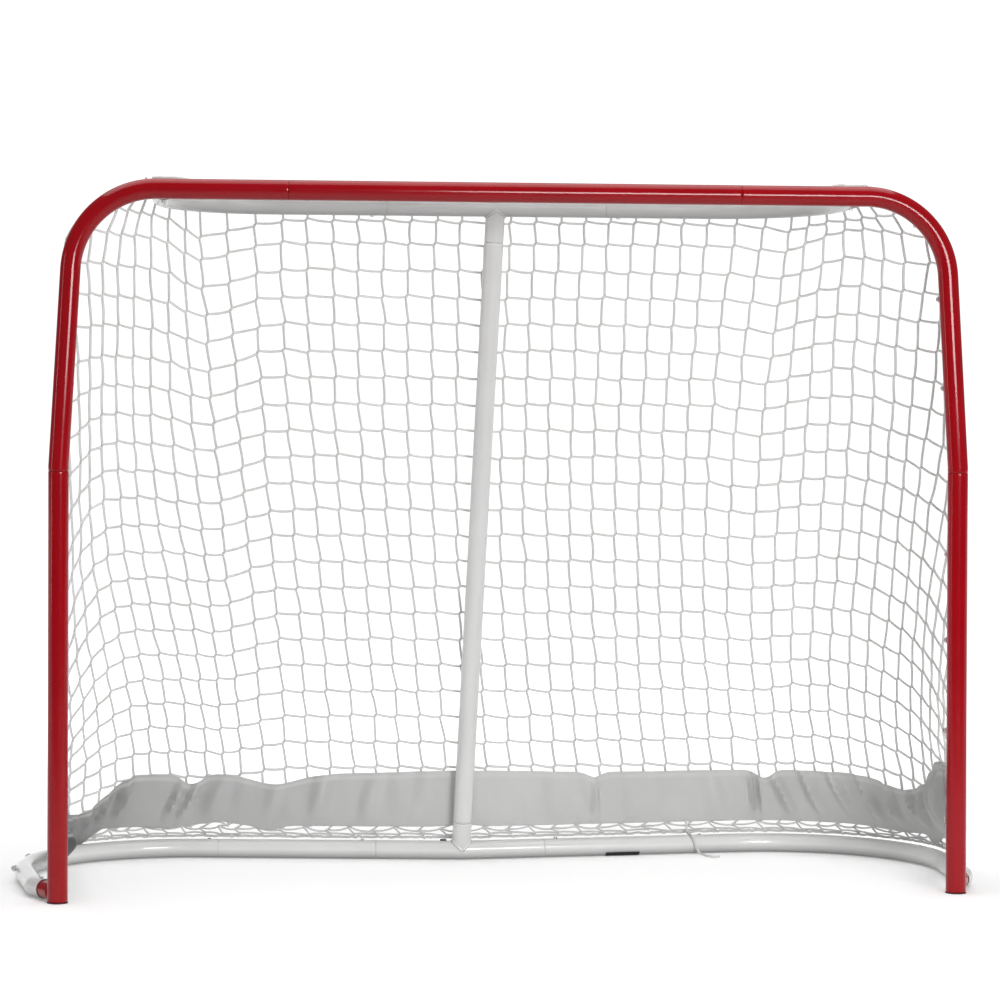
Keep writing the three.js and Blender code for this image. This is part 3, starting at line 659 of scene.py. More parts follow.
def base_arc(side):
    name = NAMES[side]
    seam = base_point(side, BASE_SEAM)
    rim = foot_rim(side) + toe_out(side) * SEAM_GAP
    bend = foot_point(side) + toe_out(side) * FOOT_LEG
    route, radii = [rim, bend, base_corner(side), seam], [FOOT_RADIUS, BASE_RADIUS]
    seam_snap = snap("base_" + name, seam, -base_heading(side), vec(0, 0.5, 1), 18.0)
    shapes = [(pipe(bent_path(route, radii)), True)]
    points, directions = bent_path(route, radii, COARSE)
    for i in (4, 6, 8, 10):
        outward = np.cross(directions[i], UP) * side
        outward[2] = 0.45
        add_peg(shapes, side, points[i], outward)
    mesh = with_holes(name + "_arc", shapes, ["foot_" + name, seam_snap])
    make_piece(f"tube_{name}_base_arc", mesh, WHITE, "frame", [f"{name}_base_arc"])


def base_straight(side):
    name = NAMES[side]
    heading = base_heading(side)
    outer_end = base_point(side, BASE_SEAM) + heading * SEAM_GAP
    inner_end = base_point(side, BASE_TEE_HALF) - heading * SEAM_GAP
    tee_snap = snap("base_tee_" + name, inner_end, -heading, UP)
    shapes = [(pipe(line(outer_end, inner_end)), True), (spigot(outer_end, -heading, SHORT_SPIGOT), True)]
    add_peg(shapes, side, (outer_end + inner_end) / 2, vec(0, 1, 0.45))
    mesh = with_holes(name + "_straight", shapes, ["base_" + name, tee_snap])
    make_piece(f"tube_{name}_base", mesh, WHITE, "frame", [f"{name}_base_straight"])


def tee(name, path, stub_direction, stub_length, centre, snaps, node_name):
    points, directions = path
    end = centre + stub_direction * stub_length
    shapes = [
        (pipe(path), True),
        (pipe(line(centre, end)), True),
        (spigot(points[0], -directions[0], STUB_SPIGOT), True),
        (spigot(points[-1], directions[-1], STUB_SPIGOT), True),
        (weld(centre, vec(1, 0, 0), stub_direction, OUTER + 0.9, OUTER), False),
    ]
    mesh = with_holes(name, shapes, snaps)
    make_piece("tube_" + name, mesh, WHITE, "frame", [node_name])


def shelf_arm(side):
    name = NAMES[side]
    seam = vec(SHELF_TEE[0] + side * (SHELF_TEE_HALF + SEAM_GAP), SHELF_Y, BAR_Z)
    front = vec(side * SHELF_X, SHELF_STUB + SEAM_GAP, BAR_Z)
    path = bent_path([front, vec(side * SHELF_X, SHELF_Y, BAR_Z), seam], [SHELF_RADIUS])
    tee_snap = snap("shelf_tee_" + name, seam, vec(side, 0, 0), -UP)
    mesh = with_holes(name + "_arm", [(pipe(path), True)], ["shelf_arm_" + name, tee_snap])
    make_piece(f"tube_{name}_shelf_arm", mesh, WHITE, "frame", [f"{name}_shelf_arm"])


def centre_post(top_seam, bottom_seam):
    top, bottom = top_seam + POST_AXIS * SEAM_GAP, bottom_seam - POST_AXIS * SEAM_GAP
    shapes = [
        (pipe(line(top, bottom)), True),
        (spigot(top, -POST_AXIS, STUB_SPIGOT), True),
        (spigot(bottom, POST_AXIS, SHORT_SPIGOT), True),
    ]
    mesh = with_holes("centre", shapes, ["post_top", "post_bottom"])
    make_piece("tube_centre_post", mesh, WHITE, "frame", ["centre_post"])


def build_frame():
    for side in (-1, 1):
        lower_post(side)
        corner_tube(side)
        base_arc(side)
        base_straight(side)
        shelf_arm(side)
    crossbar_middle()
    top_seam = SHELF_TEE + POST_AXIS * TOP_STUB
    bottom_seam = BASE_TEE - POST_AXIS * BOTTOM_STUB
    snap("post_top", top_seam, -POST_AXIS, BACK)
    snap("post_bottom", bottom_seam, POST_AXIS, BACK, 18.0)
    shelf_path = line(SHELF_TEE - vec(SHELF_TEE_HALF, 0, 0), SHELF_TEE + vec(SHELF_TEE_HALF, 0, 0))
    shelf_snaps = ["post_top", "shelf_tee_left", "shelf_tee_right"]
    tee("shelf_tee", shelf_path, POST_AXIS, TOP_STUB, SHELF_TEE, shelf_snaps, "shelf_tee")
    ends = [base_point(-1, BASE_TEE_HALF), base_point(1, BASE_TEE_HALF)]
    base_path = bent_path([ends[0], BASE_TEE, ends[1]], [BASE_TEE_RADIUS])
    base_snaps = ["post_bottom", "base_tee_left", "base_tee_right"]
    tee("base_tee", base_path, -POST_AXIS, BOTTOM_STUB, BASE_TEE, base_snaps, "base_tee")
    centre_post(top_seam, bottom_seam)


def button(name):
    """A domed steel button on its flat spring leaf; the fixed half of the spring is the CAD's own."""
    point, along, outward = SNAPS[name]
    dome = [(3.5 - 1.5 * (1 - math.cos(a)), BUTTON_TOP - 1.5 + 1.5 * math.sin(a))
            for a in np.linspace(0, math.pi / 2, 6)]
    profile = [(0, 9.0), (5.2, 9.0), (5.2, 10.6), (5.0, 10.8), (3.5, 10.8), *dome, (0, BUTTON_TOP)]
    shape = lathe(profile, point, outward, 28)
    x = -along
    z = np.cross(x, outward)
    outline = [(-4, -4), (26, -4), (26, 4), (-4, 4)]
    corners = [point + x * u + z * w + outward * h for h in (8.75, 9.65) for u, w in outline]
    box = [(0, 3, 2, 1), (4, 5, 6, 7), (0, 1, 5, 4), (1, 2, 6, 5), (2, 3, 7, 6), (3, 0, 4, 7)]
    shape.add(corners, box)
    mesh = shape.mesh("button_" + name)
    make_piece("button_" + name, mesh, STEEL, "button_" + name, ["snap_button_" + name])
    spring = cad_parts["snap_spring_" + name]
    spring.data.materials.clear()
    spring.data.materials.append(STEEL)


build_frame()
for snap_name in list(SNAPS):
    button(snap_name)


# --- Foot caps and small fittings -----------------------------------------------------------------
def foot_cap(side):
    profile = [
        (0, 0), (16.6, 0), (17.6, 0.25), (18.25, 0.8), (18.4, 1.4), (18.2, 1.9), (17.6, 2.0),
        (14.9, 2.0), (14.7, 3.0), (14.9, 4.5), (14.6, 6.0), (14.8, 7.5), (14.2, 11.5), (13.4, 12), (0, 12),
    ]
    shape = lathe(profile, vec(side * POST_X, 0, 0), UP, 48)
    name = NAMES[side] + "_foot_cap"
    make_piece("plug_" + name, shape.mesh(name), CAP, "frame", [name])


def part_sleeve(centre, heading, inner, outer, start, end, length, steps):
    """A strip bent round a tube, between two angles measured up from straight back."""
    across = unit(np.cross(UP, heading))
    profile = [(inner + 0.25, -length / 2), (outer - 0.25, -length / 2), (outer, -length / 2 + 0.3),
               (outer, length / 2 - 0.3), (outer - 0.25, length / 2), (inner + 0.25, length / 2)]
    points, count = [], len(profile)
    for angle in np.radians(np.linspace(start, end, steps)):
        radial = across * math.cos(angle) + UP * math.sin(angle)
        points.extend([centre + radial * r + heading * a for r, a in profile])
    faces = []
    for s in range(steps - 1):
        for k in range(count):
            n = (k + 1) % count
            faces.append((s * count + k, s * count + n, (s + 1) * count + n, (s + 1) * count + k))
    faces += [tuple(range(count))[::-1], tuple((steps - 1) * count + k for k in range(count))]
    return Shape().add(points, faces)


def small_fittings():
    strip = dict(inner=18.3, outer=19.7, start=213, end=240, length=66, steps=16)
    tie = dict(inner=18.9, outer=20.2, start=-40, end=100, length=12, steps=40)
    for name, side, across, sizes in (("wear_strip", 1, 311, strip), ("cable_tie", -1, 33, tie)):
        heading = base_heading(side) * -side
        shape = part_sleeve(base_point(side, across), heading, **sizes)
        make_piece("fitted_" + name, shape.mesh(name), RUBBER, "frame", [name])


foot_cap(-1)
foot_cap(1)
small_fittings()


# --- The net's surface: from the base tube's outline to the shelf tube's ---------------------------
def smooth(low, high, value):
    share = min(1.0, max(0.0, (value - low) / (high - low)))
    return share * share * (3 - 2 * share)


TOE_X, TOE_Y = 819.0, 96.0


def outline(side, high):
    if high:
        corners = [vec(side * SHELF_X, NET_FRONT, BAR_Z), vec(side * SHELF_X, SHELF_Y, BAR_Z), SHELF_TEE]
        radii = [SHELF_RADIUS]
    else:
        toe = vec(side * TOE_X, TOE_Y, OUTER)
        corners = [vec(side * POST_X, NET_FRONT, OUTER), toe, base_corner(side), BASE_TEE]
        radii = [FOOT_RADIUS, BASE_RADIUS]
    points, directions = bent_path(corners, radii, 4.0)
    reach = np.r_[0, np.cumsum(np.linalg.norm(np.diff(points, axis=0), axis=1))]
    return points, directions, reach / reach[-1]


OUTLINES = {(side, high): outline(side, high) for side in (-1, 1) for high in (False, True)}
FRONT_PULL = 0.35
FOOT_SPREAD = 25.0
TUCK_INSIDE, TUCK_SOFT = 3.0, 16.0
LEFT_LOOSE, RIGHT_LOOSE, RIGHT_SLOPE, TOP_LOOSE = 18.0, 130.0, 400.0, 130.0


def edge_point(side, high, share, offset):
    points, directions, reach = OUTLINES[side, high]
    point = np.array([np.interp(share, reach, points[:, k]) for k in range(3)])
    direction = unit([np.interp(share, reach, directions[:, k]) for k in range(3)])
    return point + side * np.cross(direction, UP) * offset


def frame_half_width(height):
    lean = max(0.0, height - POST_JOINT) * math.tan(LEAN)
    into_bend = min(1.0, max(0.0, height - BAR_Z + CORNER_RADIUS) / CORNER_RADIUS)
    return POST_X - lean - CORNER_RADIUS * (1 - math.sqrt(1 - into_bend ** 2))


def net_point(round_to, height, offset=NET_OFFSET):
    """round_to runs from -1 at the left front edge, through 0 at the middle of the back, to 1."""
    side = -1 if round_to < 0 else 1
    share = 1 - abs(round_to)
    rise = height / BAR_Z
    low, high = edge_point(side, False, share, offset), edge_point(side, True, share, offset)
    point = low * (1 - rise) + high * rise
    point[2] = height
    straight = POST_X + (SHELF_X - POST_X) * rise
    pull = max(0.0, 1 - share / FRONT_PULL) ** 2
    point[0] += side * pull * (frame_half_width(height) - straight - FOOT_SPREAD * max(0.0, 1 - rise))
    # The left panel hangs inside the line of its post; the right one only at its front edge.
    if side > 0:
        loose = RIGHT_LOOSE * (1 - smooth(40, 85, height)) + RIGHT_SLOPE * share
    else:
        loose = LEFT_LOOSE * (1 - smooth(38, 60, height))
    loose += TOP_LOOSE * smooth(1080, 1170, height)
    over = abs(point[0]) + NET_OFFSET - offset - (frame_half_width(height) - TUCK_INSIDE + loose)
    point[0] -= side * (over + math.hypot(over, TUCK_SOFT)) / 2
    return point


# The mesh hangs in even squares across the back, between two creases under the shelf's corners.
# Beyond the creases its columns stand closer, and its rows sweep down to the front edges.
LEFT_CREASE, RIGHT_CREASE = 0, 23
FIRST_COLUMN, LAST_COLUMN = -19, 40
TOP_ROW, LAST_EVEN_ROW = -1, 20
GATHERED_ROWS = (125.0, 87.0, 66.0, 54.0, 43.0)
BOTTOM_ROW = LAST_EVEN_ROW + len(GATHERED_ROWS)
FIRST_ROW_Z, ROW_PITCH, TOP_ROW_Z = 1146.0, 48.7, 1186.0
EVEN_ROWS = [FIRST_ROW_Z - ROW_PITCH * j for j in range(LAST_EVEN_ROW + 1)]
ROW_LEVELS = [TOP_ROW_Z, *EVEN_ROWS, *GATHERED_ROWS]
NET_LOW, CREASE_TOP = 40.0, 1140.0
# Where the creases stand at the floor, how far they have moved towards the posts by their top, and the
# power that curves them.
LEFT_FOOT, LEFT_TRAVEL, LEFT_CURVE = 0.34, 0.277, 1.4
RIGHT_FOOT, RIGHT_TRAVEL, RIGHT_CURVE = 0.472, 0.173, 2.5
# The side panels' columns: their pitch at the floor, what it gains by the top, how it widens towards
# the front near the top, and how the outermost columns swing forward near the floor.
SIDE_PITCH, SIDE_PITCH_GAIN = 0.027, 0.0155
FAN, SPREAD = 0.03, 0.0016
# Depths of the rows' dips at the two creases, their hump beyond the right one, and the left panel's belly.
LEFT_DIP, RIGHT_DIP, HUMP, BELLY = 35.0, 13.0, 22.0, 30.0
# The share of their height that the lower rows lose towards each front edge.
LEFT_DRAWN, RIGHT_DRAWN = 0.8, 0.55
# The gathered rows: how far knots stand up and down in turn, are shifted along, and their links sag.
ZIGZAG = {22: 3.0, 23: 2.5, 24: 2.5, 25: 0.6}
STAGGER = {23: 0.25, 24: -0.25}
LINK_SAG = {23: 3.2, 24: -2.8, 25: 1.0}


def column_at(i, height):
    """The round_to value of a column at a height."""
    rise = max(0.0, height) / CREASE_TOP
    left = -(LEFT_FOOT + LEFT_TRAVEL * rise ** LEFT_CURVE)
    right = RIGHT_FOOT + RIGHT_TRAVEL * rise ** RIGHT_CURVE
    if LEFT_CREASE <= i <= RIGHT_CREASE:
        return left + (right - left) * (i - LEFT_CREASE) / (RIGHT_CREASE - LEFT_CREASE)
    beyond = LEFT_CREASE - i if i < LEFT_CREASE else i - RIGHT_CREASE
    pitch = SIDE_PITCH + SIDE_PITCH_GAIN * smooth(0.15, 0.8, rise)
    away = beyond * pitch * (1 + FAN * (beyond - 4) * rise)
    away += SPREAD * max(0.0, beyond - 10) ** 2 * max(0.0, 1 - rise)
    return left - away if i < LEFT_CREASE else right + away


def swell(value, centre, width):
    return math.exp(-((value - centre) / width) ** 2)


def row_height(i, j):
    """The height of a row of knots at a column."""
    left, right = LEFT_CREASE - i, i - RIGHT_CREASE
    level = float(np.interp(j, range(TOP_ROW, BOTTOM_ROW + 1), ROW_LEVELS))
    fade = min(1.0, 1 - j / 25) * (1 - smooth(20, 22, j))
    level -= fade * (LEFT_DIP * swell(left, 0, 1.6) + RIGHT_DIP * swell(right, 0, 1.3))
    level += fade * smooth(-1, 0, j) * HUMP * swell(right, 3.5, 2.5)
    level -= BELLY * max(0.0, 1 - ((j - 12) / 12) ** 2) * smooth(-2, 2, left)
    drawn = LEFT_DRAWN * smooth(5, 15, left) + RIGHT_DRAWN * smooth(5, 19, right)
    return NET_LOW + (level - NET_LOW) * (1 - drawn * smooth(0, 20, j))


def jitter(size):
    return np.array([random.gauss(0, size) for _ in range(3)])


def knot_place(i, j):
    """A knot's round_to value and height; the bottom rows are gathered into a zigzag."""
    height = row_height(i, j)
    height += ZIGZAG.get(j, 0.0) * (1 if (i + j) % 2 else -1)
    return column_at(i + STAGGER.get(j, 0.0), height), height


TWINE_RADIUS, KNOT_SIZE = 2.4, 3.1
GATHERED_THINNER = 0.22     # the mesh twine's radius is less by this share near the ground


class Net:
    """Strands and knots gathered into one shape per panel."""

    def __init__(self):
        self.shapes = {name: Shape() for name in ("net_side_left", "net_side_right", "net_back", "net_top")}

    def strand(self, panel, points, radius=TWINE_RADIUS, sides=6):
        if len(points) < 2:
            return
        points = np.asarray(points, float)
        lengths = np.linalg.norm(np.diff(points, axis=0), axis=1)
        points = points[np.r_[True, lengths > 1e-3]]
        if len(points) < 2:
            return
        steps = np.diff(points, axis=0)
        reach = np.r_[0, np.cumsum(np.linalg.norm(steps, axis=1))]
        directions = [unit(steps[0])]
        directions += [unit(a / np.linalg.norm(a) + b / np.linalg.norm(b)) for a, b in zip(steps, steps[1:])]
        directions.append(unit(steps[-1]))
        axes = side_axes(directions)
        gathered = GATHERED_THINNER if radius == TWINE_RADIUS else 0.0
        thin = [radius * (1 - gathered * (1 - smooth(55, 85, p[2]))) for p in points]
        rings = np.concatenate([ring(p, x, r, sides) for p, x, r in zip(points, axes, thin)])
        faces = ring_faces(len(points), sides, False)
        faces.append(tuple(range(sides))[::-1])
        faces.append(tuple((len(points) - 1) * sides + k for k in range(sides)))
        along = np.repeat(reach / 1000, sides)
        around = np.tile(np.arange(sides) * 2 * math.pi / sides, len(points))
        self.shapes[panel].add(rings, faces, along, around)

    def knot(self, panel, point, normal, lean, size=KNOT_SIZE):
        """A small lumpy knot, stretched along its lean and flattened against the panel."""
        normal = unit(normal)
        first = unit(lean)
        second = np.cross(normal, first)
        axes = (first * 1.35, second)
        rows, sides = 5, 7
        twist = random.uniform(0, 1)
        points, faces = [point + normal * size * 0.8], []
        for r in range(1, rows):
            polar = math.pi * r / rows
            for k in range(sides):
                angle = 2 * math.pi * (k + twist * r) / sides
                wide = size * math.sin(polar) * random.uniform(0.88, 1.12)
                points.append(point + normal * size * 0.8 * math.cos(polar)
                              + wide * (axes[0] * math.cos(angle) + axes[1] * math.sin(angle)))
        points.append(point - normal * size * 0.8)
        last = len(points) - 1
        for k in range(sides):
            n = (k + 1) % sides
            faces.append((0, 1 + k, 1 + n))
            faces.append((last, last - sides + n, last - sides + k))
            for r in range(rows - 2):
                a, b = 1 + r * sides, 1 + (r + 1) * sides
                faces.append((a + k, b + k, b + n, a + n))
        around = [random.uniform(0, 6) for _ in points]
        along = [random.uniform(0, 0.01) for _ in points]
        self.shapes[panel].add(points, faces, along, around)


def bowed(a, b, bow, steps=4):
    """The points of one link, after its first: a shallow bow between two knots."""
    return [a + (b - a) * k / steps + bow * math.sin(math.pi * k / steps) for k in range(1, steps + 1)]


def panel_of(i, other=None):
    middle = i if other is None else (i + other) / 2
    if middle <= LEFT_CREASE:
        return "net_side_left"
    return "net_side_right" if middle >= RIGHT_CREASE else "net_back"


def inside(round_to):
    return abs(round_to) < 0.995


def front_crossing(i, j_from, j_to):
    """Where a column or row passes the front edge, between a knot inside and one outside."""
    low, high = 0.0, 1.0
    for _ in range(18):
        middle = (low + high) / 2
        i_mid = i[0] + (i[1] - i[0]) * middle
        height = row_height(i_mid, j_from + (j_to - j_from) * middle)
        if inside(column_at(i_mid, height)):
            low = middle
        else:
            high = middle
    i_mid = i[0] + (i[1] - i[0]) * low
    height = row_height(i_mid, j_from + (j_to - j_from) * low)
    return net_point(column_at(i_mid, height), height)


# A knot leans: the column from above and the row to its right leave by its upper right corner.
KNOT_HALF = (1.9, 2.3)


def build_curtain(net):
    knots = {}
    for i in range(FIRST_COLUMN, LAST_COLUMN + 1):
        for j in range(TOP_ROW, BOTTOM_ROW + 1):
            round_to, height = knot_place(i, j)
            if inside(round_to):
                loose = 0.8 if j > LAST_EVEN_ROW else 1.1
                knots[i, j] = net_point(round_to, height) + jitter(loose) * [1, 0.6, 1]
    normals, lean = {}, {}
    for (i, j), point in knots.items():
        a = knots.get((i + 1, j), point) - knots.get((i - 1, j), point)
        b = knots.get((i, j - 1), point) - knots.get((i, j + 1), point)
        normal = np.cross(a, b)
        normals[i, j] = unit(normal) if np.linalg.norm(normal) > 1e-6 else BACK
        share = 1.0 if j < 22 else 0.4
        across = unit(a) if np.linalg.norm(a) > 1e-6 else vec(1, 0, 0)
        lean[i, j] = share * (KNOT_HALF[0] * across + KNOT_HALF[1] * UP)
    for i in range(FIRST_COLUMN, LAST_COLUMN + 1):
        panel = panel_of(i)
        run = []
        if (i, TOP_ROW) in knots:
            top = net_point(column_at(i, ROOF_Z), ROOF_Z) if inside(column_at(i, ROOF_Z)) else None
            if top is not None:
                run = [top, *bowed(top, knots[i, TOP_ROW] + lean[i, TOP_ROW], jitter(0.5))]
                run.append(knots[i, TOP_ROW] - lean[i, TOP_ROW])
        for j in range(TOP_ROW, BOTTOM_ROW + 1):
            if (i, j) not in knots:
                net.strand(panel, run)
                run = []
                continue
            if not run:
                first = front_crossing((i, i), j, j - 1) if j > TOP_ROW else knots[i, j]
                run = [first]
                if np.linalg.norm(knots[i, j] - first) > 6:
                    run += bowed(first, knots[i, j] + lean[i, j], jitter(0.5))
                run.append(knots[i, j] - lean[i, j])
            elif j > TOP_ROW:
                sway = jitter(0.7 if j <= LAST_EVEN_ROW else 0.5)
                run += bowed(run[-1], knots[i, j] + lean[i, j], sway)
                run.append(knots[i, j] - lean[i, j])
        net.strand(panel, run)
    for j in range(TOP_ROW, BOTTOM_ROW + 1):
        present = [i for i in range(FIRST_COLUMN, LAST_COLUMN + 1) if (i, j) in knots]
        if not present:
            continue
        runs = []
        first, last = present[0], present[-1]
        start = front_crossing((first, first - 1), j, j)
        run = [start, *bowed(start, knots[first, j] - lean[first, j], jitter(0.5))]
        run.append(knots[first, j] + lean[first, j])
        panel = "net_side_left"
        for a, b in zip(present, present[1:]):
            owner = panel_of(a, b)
            if owner != panel:
                runs.append((panel, run))
                run, panel = [run[-1]], owner
            sag = jitter(0.6) + UP * LINK_SAG.get(j, -0.9 if j <= LAST_EVEN_ROW else -0.2)
            run += bowed(run[-1], knots[b, j] - lean[b, j], sag)
            run.append(knots[b, j] + lean[b, j])
        end = front_crossing((last, last + 1), j, j)
        run += bowed(run[-1], end, jitter(0.5))
        runs.append((panel, run))
        for panel, run in runs:
            net.strand(panel, run)
    for (i, j), point in knots.items():
        size = KNOT_SIZE if j <= LAST_EVEN_ROW else 2.9
        net.knot(panel_of(i), point, normals[i, j], lean[i, j], size)
    return knots


FRONT_CORD_RADIUS, BORDER_RADIUS = 2.9, 2.3
BORDER_Z = 38.5
BACK_SHARE = 0.4            # the back panel's border runs from minus this to this, as round_to


def dipped(point):
    """The roof's front edge sinks behind the crossbar, but lies over the shelf's arms."""
    between = 1 - smooth(SHELF_X - 62, SHELF_X - 26, abs(point[0]))
    return point - UP * 6.5 * between * (1 - smooth(25, 62, point[1]))


def build_roof(net):
    """The roof's mesh goes on from the back's columns and from the side panels' columns."""
    columns = range(LEFT_CREASE - 3, RIGHT_CREASE + 4)
    rear = {}
    for i in range(LEFT_CREASE - 9, RIGHT_CREASE + 10):
        if inside(column_at(i, ROOF_Z)):
            rear[i] = net_point(column_at(i, ROOF_Z), ROOF_Z)
    cross_rows = []
    for k in range(9):
        left, right = rear.get(LEFT_CREASE - k), rear.get(RIGHT_CREASE + k)
        if left is not None and right is not None and min(left[1], right[1]) > 40:
            cross_rows.append((left, right))
    cross_rows.append((vec(-SHELF_X - 20, 25, ROOF_Z), vec(SHELF_X + 20, 25, ROOF_Z)))

    def row_y(row, x):
        left, right = row
        return left[1] + (right[1] - left[1]) * (x - left[0]) / (right[0] - left[0])

    crossings = {}
    for i in columns:
        if i not in rear:
            continue
        start = rear[i]
        run, previous = [start], start
        for r, row in enumerate(cross_rows):
            y = row_y(row, start[0])
            if y > start[1] - 12 or not row[0][0] - 1 <= start[0] <= row[1][0] + 1:
                continue
            knot = vec(start[0], y, ROOF_Z) + jitter(1.2) * [1, 1, 0.3]
            crossings[i, r] = knot
            run += bowed(previous, knot, jitter(0.8) * [1, 1, 0.4])
            previous = knot
        net.strand("net_top", [dipped(point) for point in run])
    for r, row in enumerate(cross_rows):
        stops = sorted((crossings[key] for key in crossings if key[1] == r), key=lambda p: p[0])
        stops = [row[0], *stops, row[1]]
        run = [stops[0]]
        for a, b in zip(stops, stops[1:]):
            run += bowed(a, b, jitter(0.8) * [1, 1, 0.4])
        radius = FRONT_CORD_RADIUS if r == len(cross_rows) - 1 else TWINE_RADIUS
        net.strand("net_top", [dipped(point) for point in run], radius)
    for knot in crossings.values():
        net.knot("net_top", dipped(knot), UP, vec(1, 1, 0))


def wavy(points, size):
    return [p + jitter(size) for p in points]


def build_edges(net):
    """Border cords down the front edges, along the bottom and round the shelf, and a loop on each peg."""
    for side, panel in ((-1, "net_side_left"), (1, "net_side_right")):
        heights = np.linspace(41, 1226, 120)
        net.strand(panel, wavy([net_point(side * 0.999, h) for h in heights], 0.5), TWINE_RADIUS, 8)
        shares = np.linspace(0.999, BACK_SHARE, 130) * side
        net.strand(panel, wavy([net_point(s, BORDER_Z) for s in shares], 0.6), BORDER_RADIUS, 8)
        net.strand(panel, wavy([net_point(s, ROOF_Z) for s in shares[:-25]], 0.4), 2.1, 8)
        for point, outward in PEG_PLACES[side]:
            add_loop(net, panel, point, outward)
    back = np.linspace(-BACK_SHARE, BACK_SHARE, 160)
    net.strand("net_back", wavy([net_point(s, BORDER_Z) for s in back], 0.6), BORDER_RADIUS, 8)
    for point, outward in PEG_PLACES[0]:
        add_loop(net, "net_top", point, outward)


def add_loop(net, panel, point, outward):
    """Twine wound twice round a peg's stem."""
    axes = side_axes([outward])[0]
    turns = np.linspace(0, 4 * math.pi, 26)
    coil = []
    for t in turns:
        round_stem = axes[0] * math.cos(t) + axes[1] * math.sin(t)
        coil.append(point + outward * (20.2 + 2.6 * t / turns[-1]) + 4.3 * round_stem)
    net.strand(panel, coil, 1.6, 6)


net = Net()
build_curtain(net)
build_roof(net)
build_edges(net)
for net_name, net_shape in net.shapes.items():
    make_piece("twine_" + net_name, net_shape.mesh(net_name), TWINE, "frame", [net_name], 60.0)


# --- Skirt ----------------------------------------------------------------------------------------
# The skirt's edges are level lines that drop at the left post and rise at the right one, with swells
# and dips: where, how wide and how high each is.
SKIRT_TOP_Z, TOP_DROP_LEFT, TOP_RISE_RIGHT = 159, 66, 52
SKIRT_BOTTOM_Z, BOTTOM_DROP_LEFT, BOTTOM_RISE_RIGHT = 59, 33, 33
TOP_SWELLS = [(-1.0, .13, 18), (-.43, .02, -20), (-.30, .05, -20), (0, .15, 8), (.21, .015, -10),
              (.48, .015, -16), (.70, .055, -22)]
BOTTOM_SWELLS = [(-1.0, .08, 14), (-.46, .03, -5), (-.38, .03, 8), (-.30, .02, -10), (0, .03, 5),
                 (.68, .05, -6), (.76, .016, -20)]
# Creases come in groups, evenly spaced along the skirt: where the first and the last of a group start
# at the top, how many there are, how far they lean by the bottom, their half width and how far they stand in.
CREASE_GROUPS = [
    (-.90, -.70, 3, -.01, .020, 6), (-.64, -.53, 5, -.01, .011, 6), (-.44, -.42, 2, -.02, .012, 7),
    (-.38, -.06, 5, -.01, .022, 4), (.10, .40, 4, .01, .020, 2), (.21, .21, 1, 0, .008, 4),
    (.46, .47, 2, 0, .004, 5), (.49, .71, 6, .03, .012, 7), (.75, .95, 5, 0, .012, 8),
]
CREASES = [
    (at, at + lean, width, rise)
    for first, last, count, lean, width, rise in CREASE_GROUPS
    for at in np.linspace(first, last, count)
]
SKIRT_ROWS, SKIRT_COLUMNS = 16, 420
HEM = 0.085                 # the hem's share of the skirt's height
HALF_SHEET = 0.5
SKIRT_OFFSET, FOLD_SOFT = 21.8, 1.8


def fold_depth(round_to, down):
    depth = 1.6 * math.sin(round_to * 47 + 1.3 * down) + 1.1 * math.sin(round_to * 103 - 2 * down)
    for top, bottom, width, rise in CREASES:
        away = abs(round_to - (top + (bottom - top) * down)) / width
        if away < 1:
            middle = 0.45 + 0.55 * math.sin(math.pi * (0.15 + 0.75 * down))
            depth += rise * (1 - away * away) ** 2 * middle
    return depth


def skirt_top(round_to):
    level = SKIRT_TOP_Z - TOP_DROP_LEFT * (1 - smooth(-.60, -.515, round_to))
    level += TOP_RISE_RIGHT * smooth(.74, .87, round_to)
    return level + sum(size * swell(round_to, at, width) for at, width, size in TOP_SWELLS)


def skirt_bottom(round_to):
    level = SKIRT_BOTTOM_Z - BOTTOM_DROP_LEFT * (1 - smooth(-.60, -.55, round_to))
    level += BOTTOM_RISE_RIGHT * smooth(.78, .98, round_to)
    return level + sum(size * swell(round_to, at, width) for at, width, size in BOTTOM_SWELLS)


